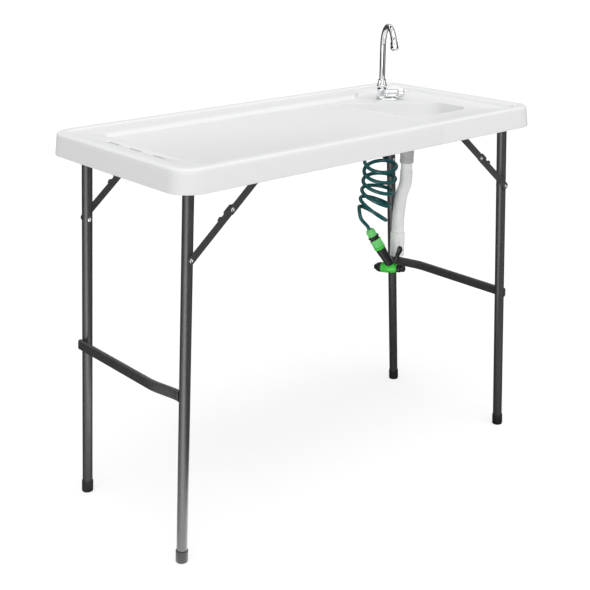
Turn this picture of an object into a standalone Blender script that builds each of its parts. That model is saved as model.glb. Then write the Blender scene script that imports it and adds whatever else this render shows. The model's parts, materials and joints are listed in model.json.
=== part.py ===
# Folding camping table with a sink, gooseneck tap, coiled spray hose and drain hose.
# Metres, +Z up. The origin is on the floor under the middle of the tabletop, +X points to the
# sink end and -Y to the long edge that the user stands at.

import math

import bmesh
import bpy
from mathutils import Matrix, Vector

# Driving sizes of the tabletop
TOP_LENGTH = 1.140
TOP_WIDTH = 0.550
TOP_HEIGHT = 0.940
SKIRT_DEPTH = 0.0525
CORNER_RADIUS = 0.060
SIDE_DRAFT = 0.0065
EDGE_ROUND = 0.007
RIM_WIDTH = 0.018
SHELF_DROP = 0.003
WORK_DROP = 0.011
PANEL_THICKNESS = 0.0165
SKIRT_WALL = 0.025
WORK_SLOPE = 0.007
LEFT_SHELF_WIDTH = 0.045
BACK_SHELF_WIDTH = 0.0815
SINK_BACK_WIDTH = 0.0345
WORK_CORNER_RADIUS = 0.030
# Where the work area's back edge steps back to the sink area, counted from the sink end
STEP_START_X = -0.270
STEP_END_X = -0.198
SINK_AREA_X = -0.370

# Knife slots through the left shelf
SLOT_LENGTH = 0.048
SLOT_WIDTH = 0.006
SLOT_PITCH = 0.087
SLOT_FIRST_Y = -0.113
SLOT_COUNT = 3
SLOT_FROM_EDGE = 0.055

# Sink basin: corners of its mouth, front left first, with X counted from the sink end
BASIN_CORNERS = [(-0.332, -0.145), (-0.118, -0.145), (-0.118, -0.0246), (-0.344, 0.1375)]
BASIN_RADII = [0.050, 0.045, 0.050, 0.016]
BASIN_DEPTH = 0.077
BASIN_WALL = 0.0035
BASIN_TAPER = 0.024
BASIN_LIP = 0.004
DRAIN_X = TOP_LENGTH / 2 - 0.232
DRAIN_Y = -0.0294

# Drain fitting and hose
FLANGE_RADIUS = 0.034
FLANGE_THICKNESS = 0.0025
TAIL_RADIUS = 0.0135
TAIL_BORE = 0.0110
TAIL_LENGTH = 0.0677
LOCKNUT_RADIUS = 0.024
LOCKNUT_HEIGHT = 0.008
HOSE_NUT_RADIUS = TAIL_RADIUS + 0.0052
HOSE_NUT_HEIGHT = 0.0353
NECK_RADIUS = 0.01525
NECK_LENGTH = 0.0233
DRAIN_HOSE_RADIUS = 0.0170
DRAIN_HOSE_BORE = 0.0125
DRAIN_RIB_PITCH = 0.0050
DRAIN_RIB_DEPTH = 0.0010
CUFF_RADIUS = DRAIN_HOSE_RADIUS + 0.0025
CUFF_LENGTH = 0.0677

# Folding legs
PIVOT_X = TOP_LENGTH / 2 - 0.079
PIVOT_Z = TOP_HEIGHT - WORK_DROP - PANEL_THICKNESS - 0.0165
LEG_RADIUS = 0.0127
LEG_WALL = 0.0012
LEG_NEAR_Y = TOP_WIDTH / 2 - 0.090
LEG_FAR_Y = TOP_WIDTH / 2 - 0.054
SPLAY_X = 0.063
SPLAY_Y = 0.008
PIVOT_TUBE_RADIUS = 0.0110
CAP_RADIUS = LEG_RADIUS + 0.0018
CAP_LENGTH = 0.030
CAP_SOLE = 0.004
CROSSBAR_DROP = 0.4882
CROSSBAR_HEIGHT = 0.026
CROSSBAR_THICKNESS = 0.012
CROSSBAR_BEND_Y = -LEG_NEAR_Y + 0.085
SADDLE_Y = LEG_NEAR_Y - 0.030
SADDLE_WIDTH = 0.024
STRAP = 0.0025
SADDLE_FOOT = 0.013

# Braces
BRACE_ON_TOP = 0.193
BRACE_ON_LEG = 0.170
BRACE_STEP = 0.023
LINK_WIDTH = 0.018
LINK_THICKNESS = 0.002
LINK_TAIL = 0.012
RIVET_RADIUS = 0.0050
RIVET_HEIGHT = 0.0018
STOP_DEPTH = 0.0045
EAR_WIDTH = 0.022
EAR_FOOT = 0.026

# Tap
TAP_X = TOP_LENGTH / 2 - 0.205
TAP_Y = 0.098
TAP_TURN = math.radians(-36.9)
SPOUT_TURN = math.radians(239.4)
BASE_HALF_WIDTH = 0.0150
BASE_REACH = 0.034
BASE_THICKNESS = 0.0040
BODY_RADIUS = 0.0125
BODY_HEIGHT = 0.030
COLLAR_RADIUS = 0.0140
COLLAR_HEIGHT = 0.021
SPOUT_RADIUS = 0.0078
SPOUT_WALL = 0.0012
SPOUT_STRAIGHT_TOP = TOP_HEIGHT - WORK_DROP + 0.1450
ARCH_RADIUS = 0.0560
ARCH_SWEEP = math.radians(155.0)
SPOUT_END = 0.0100
AERATOR_RADIUS = SPOUT_RADIUS + 0.0027
AERATOR_LENGTH = 0.0220
VALVE_RADIUS = 0.0095
VALVE_HEIGHT = 0.0135
VALVE_LENGTH = 0.031
KNOB_RADIUS = 0.0115
KNOB_LENGTH = 0.0180
SPINDLE_RADIUS = 0.0035
SHANK_RADIUS = 0.0100
SHANK_BORE = 0.0060
SHANK_LENGTH = 0.048
SHANK_NUT_RADIUS = 0.0190
SHANK_NUT_HEIGHT = 0.0090
TEE_RADIUS = 0.0150
TEE_HEIGHT = 0.036
TEE_ARM = 0.030
INLET_RADIUS = 0.0130
INLET_LENGTH = 0.022
INLET_BORE = 0.0080
HOSE_COUPLING_RADIUS = 0.0110
HOSE_COUPLING_HEIGHT = 0.018

# Coiled hose, placed from the tap
COIL_TUBE_RADIUS = 0.0050
COIL_RADIUS = 0.0432
COIL_TURNS = 5
COIL_POINTS = 24
COIL_TOP = Vector((TAP_X - 0.0766, TAP_Y - 0.0776, TOP_HEIGHT - WORK_DROP - 0.1434))
COIL_DROP = 0.157
COIL_SHIFT = Vector((-0.0285, 0.0033, 0.0))
COIL_START = math.radians(154.0)
COIL_LEAN = math.radians(42.4)
COIL_LEAN_START = math.radians(-2.1)
COIL_TIP = math.radians(22.5)
COIL_TIP_CHANGE = math.radians(-25.7)
COIL_EXTRA = 2
FREE_STEP = 2.4

# Spray gun: local a runs rearward, b runs up the handle to the hose
GUN_ORIGIN = Vector((TAP_X - 0.0722, TAP_Y - 0.1276, TOP_HEIGHT - WORK_DROP - 0.4400))
VIEW_RIGHT = Vector((0.7540, -0.6568, 0.0))
VIEW_AWAY = Vector((0.6568, 0.7540, 0.0))
HANDLE_LEAN = math.radians(30.3)
HEAD_TURN = math.radians(28.0)
HEAD_TILT = math.radians(-24.0)
HEAD_RADIUS = 0.0145
HEAD_REAR_RADIUS = 0.0120
HEAD_FRONT = 0.029
HEAD_BACK = 0.016
NOZZLE_LENGTH = 0.021
NOZZLE_TIP_RADIUS = 0.0065
REAR_CAP_RADIUS = 0.0110
REAR_CAP_LENGTH = 0.010
FLOW_KNOB_RADIUS = 0.0090
FLOW_KNOB_LENGTH = 0.012
HANDLE_TOP = 0.065
HANDLE_TOP_RADIUS = 0.0138
HANDLE_LOW_RADIUS = 0.0100
ADAPTER_RADIUS = 0.0155
ADAPTER_LENGTH = 0.0085
SPIGOT_RADIUS = 0.0075
SLEEVE_RADIUS = 0.0160
SLEEVE_LENGTH = 0.022
SLEEVE_TRAVEL = 0.0045
CONNECTOR_RADIUS = 0.0125
CONNECTOR_RING_RADIUS = 0.0155
CONNECTOR_RING = 0.0060
NUT_RADIUS = 0.0125
NUT_LENGTH = 0.022
TRIGGER_WIDTH = 0.013
TRIGGER_THICKNESS = 0.0042

# Clearances
GAP = 0.0003
RUNNING = 0.0005
ROUND = 24

CHROME = ("chrome", (0.80, 0.81, 0.82), 0.08, 1.0)
PLASTIC = ("white_plastic", (0.86, 0.86, 0.86), 0.45, 0.0)
STEEL = ("grey_powder_coat", (0.070, 0.070, 0.073), 0.45, 0.3)
BLACK = ("black_plastic", (0.015, 0.015, 0.017), 0.5, 0.0)
GREEN = ("green_plastic", (0.10, 0.62, 0.12), 0.35, 0.0)
TEAL = ("teal_hose", (0.004, 0.085, 0.080), 0.25, 0.0)
GREY = ("grey_plastic", (0.36, 0.36, 0.37), 0.5, 0.0)
BRASS = ("brass", (0.60, 0.44, 0.18), 0.3, 1.0)


def clear_scene():
    for obj in list(bpy.data.objects):
        bpy.data.objects.remove(obj, do_unlink=True)


def material(finish):
    name, colour, roughness, metallic = finish
    found = bpy.data.materials.get(name)
    if found:
        return found
    made = bpy.data.materials.new(name)
    made.use_nodes = True
    shader = made.node_tree.nodes["Principled BSDF"]
    shader.inputs["Base Color"].default_value = (*colour, 1.0)
    shader.inputs["Roughness"].default_value = roughness
    shader.inputs["Metallic"].default_value = metallic
    return made


def add_object(name, points, faces, finish, origin=(0.0, 0.0, 0.0), sharp=35.0):
    """A mesh object with its origin at the given world point."""
    start = Vector(origin)
    mesh = bpy.data.meshes.new(name)
    mesh.from_pydata([tuple(Vector(p) - start) for p in points], [], faces)
    work = bmesh.new()
    work.from_mesh(mesh)
    bmesh.ops.remove_doubles(work, verts=work.verts, dist=0.00001)
    bmesh.ops.recalc_face_normals(work, faces=work.faces)
    work.to_mesh(mesh)
    work.free()
    mesh.shade_smooth()
    mesh.set_sharp_from_angle(angle=math.radians(sharp))
    if finish:
        mesh.materials.append(material(finish))
    obj = bpy.data.objects.new(name, mesh)
    obj.location = start
    bpy.context.collection.objects.link(obj)
    return obj


def ring_faces(rings, count, closed):
    faces = []
    last = rings if closed else rings - 1
    for row in range(last):
        for k in range(count):
            a = row * count + k
            b = row * count + (k + 1) % count
            c = ((row + 1) % rings) * count + (k + 1) % count
            d = ((row + 1) % rings) * count + k
            faces.append((a, b, c, d))
    if not closed:
        faces.append(tuple(reversed(range(count))))
        faces.append(tuple(range((rings - 1) * count, rings * count)))
    return faces


def loft(name, rings, finish, origin=(0.0, 0.0, 0.0), closed=False, sharp=35.0):
    """A skin over rings that all have the same number of points."""
    points = [p for ring in rings for p in ring]
    faces = ring_faces(len(rings), len(rings[0]), closed)
    return add_object(name, points, faces, finish, origin, sharp)


def frame_at(base, direction, side=None):
    """A matrix whose +Z is the direction, with its origin at the base."""
    along = Vector(direction).normalized()
    guess = Vector(side) if side else Vector((1.0, 0.0, 0.0))
    if abs(guess.normalized().dot(along)) > 0.95:
        guess = Vector((0.0, 0.0, 1.0))
    across = (guess - along * guess.dot(along)).normalized()
    third = along.cross(across)
    turn = Matrix((across, third, along)).transposed().to_4x4()
    return Matrix.Translation(Vector(base)) @ turn


def turned(name, profile, finish, base, direction=(0.0, 0.0, 1.0), origin=None,
           closed=False, segments=ROUND, side=None, sharp=35.0):
    """A profile of (radius, height) turned round an axis; a closed one makes a tube."""
    place = frame_at(base, direction, side)
    rings = []
    for radius, height in profile:
        ring = []
        for k in range(segments):
            angle = math.tau * k / segments
            ring.append(place @ Vector((radius * math.cos(angle), radius * math.sin(angle), height)))
        rings.append(ring)
    return loft(name, rings, finish, origin if origin else base, closed, sharp)


def rounded_outline(corners, radii, offset=0.0, steps=6):
    """A convex outline, counter-clockwise, moved outward by offset, with rounded corners."""
    outline = []
    count = len(corners)
    for i in range(count):
        before = Vector(corners[i - 1])
        here = Vector(corners[i])
        after = Vector(corners[(i + 1) % count])
        into = (here - before).normalized()
        out = (after - here).normalized()
        normal_in = Vector((into.y, -into.x))
        normal_out = Vector((out.y, -out.x))
        half = (normal_in + normal_out).normalized()
        stretch = 1.0 / half.dot(normal_in)
        radius = max(radii[i] + offset, 0.002)
        centre = here + half * stretch * (offset - radius)
        first = math.atan2(normal_in.y, normal_in.x)
        last = math.atan2(normal_out.y, normal_out.x)
        if last < first:
            last += math.tau
        for k in range(steps + 1):
            angle = first + (last - first) * k / steps
            outline.append(centre + Vector((math.cos(angle), math.sin(angle))) * radius)
    return outline


def box_corners(half_x, half_y):
    return [(-half_x, -half_y), (half_x, -half_y), (half_x, half_y), (-half_x, half_y)]


def level_rings(stages):
    """Rings from (outline, height) pairs."""
    return [[Vector((p.x, p.y, height)) for p in outline] for outline, height in stages]


def boolean(target, cutter, operation="DIFFERENCE"):
    cutter.hide_render = True
    cutter.display_type = "WIRE"
    modifier = target.modifiers.new(operation.title() + " " + cutter.name, "BOOLEAN")
    modifier.operation = operation
    modifier.solver = "EXACT"
    modifier.object = cutter


def turned_cutter(name, target, profile, base, direction=(0.0, 0.0, 1.0), segments=ROUND, side=None):
    cutter = turned(name, profile, None, base, direction, segments=segments, side=side)
    boolean(target, cutter)


def smooth_route(points, step):
    """Evenly spaced points on a Catmull-Rom curve through the given ones."""
    ends = [points[0] * 2 - points[1]] + list(points) + [points[-1] * 2 - points[-2]]
    fine = []
    for i in range(1, len(ends) - 2):
        p0, p1, p2, p3 = ends[i - 1:i + 3]
        for k in range(40):
            t = k / 40.0
            a = p1 * 2
            b = (p2 - p0) * t
            c = (p0 * 2 - p1 * 5 + p2 * 4 - p3) * t * t
            d = (p1 * 3 - p0 - p2 * 3 + p3) * t * t * t
            fine.append((a + b + c + d) * 0.5)
    fine.append(points[-1].copy())
    total = sum((fine[i + 1] - fine[i]).length for i in range(len(fine) - 1))
    count = max(2, round(total / step))
    spaced = [fine[0]]
    walked = 0.0
    target = total / count
    for i in range(len(fine) - 1):
        piece = (fine[i + 1] - fine[i]).length
        while walked + piece >= target * len(spaced) and len(spaced) < count:
            share = (target * len(spaced) - walked) / piece
            spaced.append(fine[i].lerp(fine[i + 1], share))
        walked += piece
    spaced.append(fine[-1])
    return spaced, total


def tube_curve(name, points, radius, finish, resolution, radii=None):
    """A curve object with a round bevel through the points and filled ends."""
    curve = bpy.data.curves.new(name, "CURVE")
    curve.dimensions = "3D"
    curve.bevel_depth = radius
    curve.bevel_resolution = resolution
    curve.use_fill_caps = True
    curve.resolution_u = 1
    spline = curve.splines.new("POLY")
    spline.points.add(len(points) - 1)
    for i, point in enumerate(points):
        spline.points[i].co = (*point, 1.0)
        spline.points[i].radius = radii[i] if radii else 1.0
    if finish:
        curve.materials.append(material(finish))
    obj = bpy.data.objects.new(name, curve)
    bpy.context.collection.objects.link(obj)
    return obj


def hose_tube(name, route, radii, bore, finish, sides=12):
    """A mesh tube with an outer skin of the given radii and a plainer bore."""
    across = Vector((0.0, 1.0, 0.0))
    frames = []
    for i, point in enumerate(route):
        run = (route[min(i + 1, len(route) - 1)] - route[max(i - 1, 0)]).normalized()
        across = (across - run * across.dot(run)).normalized()
        frames.append((point, across.copy(), run.cross(across)))
    rings = []
    stations = [(i, radii[i]) for i in range(len(route))]
    plain = sorted(set(list(range(0, len(route), 6)) + [len(route) - 1]), reverse=True)
    stations += [(i, bore) for i in plain]
    for i, radius in stations:
        point, first, second = frames[i]
        ring = []
        for k in range(sides):
            angle = math.tau * k / sides
            ring.append(point + (first * math.cos(angle) + second * math.sin(angle)) * radius)
        rings.append(ring)
    return loft(name, rings, finish, route[0], closed=True, sharp=60.0)


def least_gap(points, radius, skip):
    """The least clear distance between two stretches of one tube that are not neighbours."""
    best = 1.0
    for i in range(len(points)):
        for j in range(i + skip, len(points)):
            best = min(best, (points[i] - points[j]).length)
    return best - 2 * radius


def work_level():
    return TOP_HEIGHT - WORK_DROP


def ceiling():
    return work_level() - PANEL_THICKNESS


def basin_floor():
    return work_level() - BASIN_DEPTH


def rim_inner(extra=0.0):
    half_x = TOP_LENGTH / 2 - SIDE_DRAFT - EDGE_ROUND - RIM_WIDTH + extra
    half_y = TOP_WIDTH / 2 - SIDE_DRAFT - EDGE_ROUND - RIM_WIDTH + extra
    return half_x, half_y


def make_tabletop():
    half_x = TOP_LENGTH / 2
    half_y = TOP_WIDTH / 2
    corners = box_corners(half_x, half_y)
    radii = [CORNER_RADIUS] * 4
    bottom = TOP_HEIGHT - SKIRT_DEPTH
    stages = [(rounded_outline(corners, radii, -0.0015, 8), bottom),
              (rounded_outline(corners, radii, 0.0, 8), bottom + 0.0015)]
    for k in range(4):
        angle = math.pi / 2 * k / 3
        inset = SIDE_DRAFT + EDGE_ROUND * (1 - math.cos(angle))
        height = TOP_HEIGHT - EDGE_ROUND * (1 - math.sin(angle))
        stages.append((rounded_outline(corners, radii, -inset, 8), height))
    top = loft("tabletop", level_rings(stages), PLASTIC)
    cut_underside(top, corners, radii, bottom)
    cut_shelf(top)
    cut_work_area(top)
    add_basin(top)
    cut_slots(top)
    shank_hole = [(SHANK_RADIUS + 0.001, -0.030), (SHANK_RADIUS + 0.001, 0.010)]
    turned_cutter("cut_tap_hole", top, shank_hole, (TAP_X, TAP_Y, work_level()))


def cut_underside(top, corners, radii, bottom):
    stages = [(rounded_outline(corners, radii, -SKIRT_WALL, 8), bottom - 0.005),
              (rounded_outline(corners, radii, -SKIRT_WALL, 8), bottom),
              (rounded_outline(corners, radii, -SKIRT_WALL - 0.004, 8), ceiling())]
    boolean(top, loft("cut_underside", level_rings(stages), None))


def cut_shelf(top):
    half_x, half_y = rim_inner()
    corners = box_corners(half_x, half_y)
    radii = [CORNER_RADIUS - SIDE_DRAFT - EDGE_ROUND - RIM_WIDTH] * 4
    shelf = TOP_HEIGHT - SHELF_DROP
    stages = [(rounded_outline(corners, radii, -SHELF_DROP, 6), shelf),
              (rounded_outline(corners, radii, 0.0, 6), TOP_HEIGHT),
              (rounded_outline(corners, radii, 0.0, 6), TOP_HEIGHT + 0.004)]
    boolean(top, loft("cut_shelf", level_rings(stages), None))


def cut_work_area(top):
    """The low work area, and the sink area beside it that reaches further back."""
    half_x, half_y = rim_inner(-SHELF_DROP - 0.001)
    shelf = TOP_HEIGHT - SHELF_DROP
    rise = shelf - work_level()
    left = -half_x + LEFT_SHELF_WIDTH
    end = TOP_LENGTH / 2
    back = half_y - BACK_SHELF_WIDTH
    sink_back = half_y - SINK_BACK_WIDTH
    parts = [("cut_work_area", [(left, -half_y), (half_x, -half_y), (half_x, back), (left, back)]),
             ("cut_sink_area", [(end + SINK_AREA_X, -half_y), (half_x, -half_y), (half_x, sink_back),
                                (end + STEP_END_X, sink_back),
                                (end + STEP_START_X, back - 2 * WORK_SLOPE)])]
    for name, corners in parts:
        radii = [WORK_CORNER_RADIUS] * len(corners)
        stages = [(rounded_outline(corners, radii, -WORK_SLOPE, 5), work_level()),
                  (rounded_outline(corners, radii, 0.0, 5), work_level() + rise),
                  (rounded_outline(corners, radii, 0.0, 5), work_level() + rise + 0.004)]
        boolean(top, loft(name, level_rings(stages), None))


def basin_outline(offset):
    corners = [(TOP_LENGTH / 2 + x, y) for x, y in BASIN_CORNERS]
    return rounded_outline(corners, BASIN_RADII, offset, 6)


def add_basin(top):
    floor = basin_floor()
    outer = [(basin_outline(BASIN_WALL - BASIN_TAPER), floor - BASIN_WALL),
             (basin_outline(BASIN_WALL - 0.6 * BASIN_TAPER), floor + 0.010),
             (basin_outline(BASIN_WALL), ceiling() + 0.006)]
    boolean(top, loft("add_basin", level_rings(outer), None), "UNION")
    inner = [(basin_outline(-BASIN_TAPER), floor),
             (basin_outline(-0.6 * BASIN_TAPER), floor + 0.010),
             (basin_outline(0.0), work_level() - BASIN_LIP),
             (basin_outline(BASIN_LIP), work_level()),
             (basin_outline(BASIN_LIP), work_level() + 0.008)]
    boolean(top, loft("cut_basin", level_rings(inner), None))
    hole = TAIL_RADIUS + 0.0008
    profile = [(hole, -0.010), (hole, -FLANGE_THICKNESS + 0.001),
               (FLANGE_RADIUS + 0.0005, -FLANGE_THICKNESS + 0.001), (FLANGE_RADIUS + 0.0005, 0.004)]
    turned_cutter("cut_drain", top, profile, (DRAIN_X, DRAIN_Y, floor))


def cut_slots(top):
    x = -TOP_LENGTH / 2 + SLOT_FROM_EDGE
    for k in range(SLOT_COUNT):
        y = SLOT_FIRST_Y + SLOT_PITCH * k
        half_x = SLOT_WIDTH / 2
        half_y = SLOT_LENGTH / 2
        corners = [(x - half_x, y - half_y), (x + half_x, y - half_y),
                   (x + half_x, y + half_y), (x - half_x, y + half_y)]
        outline = rounded_outline(corners, [half_x * 0.9] * 4, 0.0, 3)
        stages = [(outline, ceiling() - 0.010), (outline, TOP_HEIGHT + 0.002)]
        boolean(top, loft(f"cut_slot_{k + 1}", level_rings(stages), None))


def make_drain():
    floor = basin_floor()
    seat = floor - FLANGE_THICKNESS + 0.001
    base = (DRAIN_X, DRAIN_Y, seat + GAP)
    rim = FLANGE_THICKNESS
    profile = [(TAIL_BORE, -TAIL_LENGTH), (TAIL_RADIUS, -TAIL_LENGTH), (TAIL_RADIUS, 0.0),
               (FLANGE_RADIUS, 0.0), (FLANGE_RADIUS - 0.002, rim), (0.024, rim),
               (0.022, 0.0005), (TAIL_BORE, 0.0003)]
    turned("drain_flange", profile, CHROME, base, closed=True)
    make_strainer(base)
    under = floor - BASIN_WALL
    nut = [(TAIL_RADIUS + GAP, -LOCKNUT_HEIGHT), (LOCKNUT_RADIUS, -LOCKNUT_HEIGHT),
           (LOCKNUT_RADIUS, 0.0), (TAIL_RADIUS + GAP, 0.0)]
    turned("drain_locknut", nut, PLASTIC, (DRAIN_X, DRAIN_Y, under - GAP), closed=True)
    make_drain_hose(seat + GAP - TAIL_LENGTH)


def make_strainer(base):
    """A domed grid dish with a small knob that drops into the flange's well."""
    level = base[2] + 0.0005 + GAP
    radius = 0.0205
    profile = [(radius, 0.0), (radius, 0.0012), (radius - 0.004, 0.0022), (0.0045, 0.0030),
               (0.0040, 0.0062), (0.0030, 0.0066)]
    strainer = turned("sink_strainer", profile, CHROME, (base[0], base[1], level))
    for ring_radius, count in ((0.0082, 6), (0.0138, 10)):
        for k in range(count):
            angle = math.tau * k / count
            x = base[0] + ring_radius * math.cos(angle)
            y = base[1] + ring_radius * math.sin(angle)
            hole = [(0.0016, -0.002), (0.0016, 0.006)]
            turned_cutter(f"cut_strainer_{count}_{k}", strainer, hole, (x, y, level), segments=6)


def make_drain_hose(tail_end):
    nut_bottom = tail_end - 0.004
    nut = [(NECK_RADIUS + 0.0004, 0.0), (HOSE_NUT_RADIUS - 0.001, 0.0), (HOSE_NUT_RADIUS, 0.002),
           (HOSE_NUT_RADIUS, 0.011), (HOSE_NUT_RADIUS - 0.001, 0.0125), (HOSE_NUT_RADIUS - 0.001, 0.0145),
           (HOSE_NUT_RADIUS, 0.016), (HOSE_NUT_RADIUS, HOSE_NUT_HEIGHT), (TAIL_RADIUS + GAP, HOSE_NUT_HEIGHT),
           (TAIL_RADIUS + GAP, 0.005), (NECK_RADIUS + 0.0004, 0.004)]
    turned("drain_hose_nut", nut, GREY, (DRAIN_X, DRAIN_Y, nut_bottom), closed=True)
    route, length = smooth_route(drain_points(nut_bottom), DRAIN_RIB_PITCH / 2)
    radii = []
    for i in range(len(route)):
        walked = length * i / (len(route) - 1)
        if walked < NECK_LENGTH:
            radii.append(NECK_RADIUS)
        elif walked > length - DRAIN_HOSE_RADIUS:
            radii.append(DRAIN_HOSE_RADIUS)
        else:
            radii.append(DRAIN_HOSE_RADIUS - (i % 2) * DRAIN_RIB_DEPTH)
    hose_tube("drain_hose", route, radii, DRAIN_HOSE_BORE, PLASTIC)
    print("drain hose length", round(length, 4))
    end = route[-1]
    cuff = [(CUFF_RADIUS - 0.002, 0.0), (CUFF_RADIUS - 0.0005, -0.002), (CUFF_RADIUS, -0.005),
            (CUFF_RADIUS, -CUFF_LENGTH + 0.001), (CUFF_RADIUS - 0.001, -CUFF_LENGTH),
            (CUFF_RADIUS - 0.004, -CUFF_LENGTH), (CUFF_RADIUS - 0.004, -0.003),
            (DRAIN_HOSE_BORE, -0.003), (DRAIN_HOSE_BORE, 0.0)]
    turned("drain_hose_cuff", cuff, PLASTIC, (end.x, end.y, end.z - GAP), closed=True)


def drain_points(top):
    """The drain hose's route, hand placed under the nut, from its straight start to its end."""
    start = Vector((DRAIN_X, DRAIN_Y, top + 0.0034))
    return [start,
            start + Vector((0.0, 0.0, -0.037)),
            start + Vector((-0.0010, 0.0008, -0.062)),
            start + Vector((-0.0072, 0.0065, -0.087)),
            start + Vector((-0.0112, 0.0102, -0.124)),
            start + Vector((-0.0133, 0.0118, -0.158)),
            start + Vector((-0.0133, 0.0118, -0.1770)),
            start + Vector((-0.0133, 0.0118, -0.1972))]


class LegSide:
    """One leg frame. Sizes are worked out for the left one; the right one is turned half round."""

    def __init__(self, name, turned_round):
        self.name = name
        self.spin = Matrix.Rotation(math.pi if turned_round else 0.0, 4, "Z")
        self.pivot = Vector((-PIVOT_X, 0.0, PIVOT_Z))

    def place(self, points):
        return [self.spin @ Vector(p) for p in points]

    def origin(self, point=None):
        return self.spin @ (Vector(point) if point else self.pivot)

    def leg_line(self, y):
        """The top and the foot of the leg at y, on its centre line."""
        side = math.copysign(1.0, y)
        top = Vector((-PIVOT_X, y, PIVOT_Z))
        foot = Vector((-PIVOT_X - SPLAY_X, y + side * SPLAY_Y, 0.0))
        return top, foot

    def splay(self):
        return math.atan2(SPLAY_X, PIVOT_Z)

    def down(self):
        return Vector((-math.sin(self.splay()), 0.0, -math.cos(self.splay())))

    def outward(self):
        return Vector((-math.cos(self.splay()), 0.0, math.sin(self.splay())))


def side_loft(side, name, rings, finish, origin=None, sharp=35.0, closed=False):
    moved = [side.place(ring) for ring in rings]
    return loft(name, moved, finish, side.origin(origin), closed, sharp)


def circle_on(centre, direction, radius, segments=ROUND, cut_level=None):
    """A circle square to the direction, or the same tube cut level at a height."""
    place = frame_at(centre, direction, (0.0, 1.0, 0.0))
    along = Vector(direction).normalized()
    ring = []
    for k in range(segments):
        angle = math.tau * k / segments
        point = place @ Vector((radius * math.cos(angle), radius * math.sin(angle), 0.0))
        if cut_level is not None:
            point += along * ((cut_level - point.z) / along.z)
        ring.append(point)
    return ring


def make_leg(side, y, end_name):
    top, foot = side.leg_line(y)
    along = (foot - top).normalized()
    start = top - along * LEG_RADIUS * 0.9
    end = foot - along * CAP_SOLE
    outer = LEG_RADIUS
    inner = LEG_RADIUS - LEG_WALL
    rings = [circle_on(start, along, outer - 0.002),
             circle_on(start + along * 0.0015, along, outer),
             circle_on(end, along, outer),
             circle_on(end, along, inner),
             circle_on(start + along * 0.0030, along, inner)]
    name = f"leg_{side.name}_{end_name}"
    leg = side_loft(side, name, rings, STEEL)
    cap_top = foot - along * CAP_LENGTH
    cap = [circle_on(foot, along, CAP_RADIUS - 0.0015, cut_level=0.0),
           circle_on(foot, along, CAP_RADIUS, cut_level=0.0020),
           circle_on(cap_top + along * 0.0015, along, CAP_RADIUS),
           circle_on(cap_top, along, CAP_RADIUS - 0.001),
           circle_on(cap_top, along, outer + GAP),
           circle_on(end + along * GAP, along, outer + GAP)]
    side_loft(side, f"foot_cap_{side.name}_{end_name}", cap, BLACK)
    return leg


def make_pivot_tube(side):
    left, right = side_tube_span()
    rings = []
    for y, radius in ((left, PIVOT_TUBE_RADIUS), (right, PIVOT_TUBE_RADIUS),
                      (right, PIVOT_TUBE_RADIUS - LEG_WALL), (left, PIVOT_TUBE_RADIUS - LEG_WALL)):
        rings.append(circle_on(Vector((-PIVOT_X, y, PIVOT_Z)), (0.0, 1.0, 0.0), radius))
    side_loft(side, f"pivot_tube_{side.name}", rings, STEEL, closed=True)


def side_tube_span():
    seat = LEG_RADIUS + GAP
    return -LEG_NEAR_Y + seat, LEG_FAR_Y - seat


def make_crossbar(side):
    """A flattened tube on the outer face of the far leg, bent in to the near leg's inner side."""
    down = side.down()
    out = side.outward()
    drop = side.pivot + down * CROSSBAR_DROP
    spread = SPLAY_Y * CROSSBAR_DROP / PIVOT_Z
    face = LEG_RADIUS + GAP + CROSSBAR_THICKNESS / 2
    end_y = -LEG_NEAR_Y - spread + LEG_RADIUS + 0.0012
    path = [(LEG_FAR_Y + spread + 0.002, face), (CROSSBAR_BEND_Y + 0.012, face),
            (CROSSBAR_BEND_Y, face - 0.0012), (CROSSBAR_BEND_Y - 0.012, face - 0.0040),
            (end_y, 0.0035)]
    half_h = CROSSBAR_HEIGHT / 2
    half_t = CROSSBAR_THICKNESS / 2
    section = rounded_outline(box_corners(half_t, half_h), [half_t * 0.8] * 4, 0.0, 3)
    rings = []
    for i, (y, reach) in enumerate(path):
        before = path[max(i - 1, 0)]
        after = path[min(i + 1, len(path) - 1)]
        run = Vector((after[0] - before[0], after[1] - before[1])).normalized()
        if i == len(path) - 1:
            run = Vector((-1.0, 0.0))
        ring = []
        for p in section:
            centre = drop + Vector((0.0, y, 0.0)) + out * reach
            across = out * (-run.x) + Vector((0.0, 1.0, 0.0)) * run.y
            ring.append(centre + across * p.x + down * p.y)
        rings.append(ring)
    side_loft(side, f"crossbar_{side.name}", rings, STEEL)


def make_saddle(side, y, end_name):
    """A strap that holds the pivot tube up against the underside."""
    top = ceiling() - GAP - PIVOT_Z
    inner = PIVOT_TUBE_RADIUS + RUNNING
    outer = inner + STRAP
    foot = outer + SADDLE_FOOT
    outline = [(-foot, top), (-foot, top - STRAP), (-outer, top - STRAP)]
    for k in range(9):
        angle = math.pi + math.pi * k / 8
        outline.append((outer * math.cos(angle), outer * math.sin(angle)))
    outline += [(outer, top - STRAP), (foot, top - STRAP), (foot, top), (inner, top)]
    for k in range(9):
        angle = -math.pi * k / 8
        outline.append((inner * math.cos(angle), inner * math.sin(angle)))
    outline.append((-inner, top))
    rings = []
    for end in (y - SADDLE_WIDTH / 2, y + SADDLE_WIDTH / 2):
        rings.append([Vector((-PIVOT_X + x, end, PIVOT_Z + z)) for x, z in outline])
    side_loft(side, f"saddle_{side.name}_{end_name}", rings, STEEL)


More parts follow.
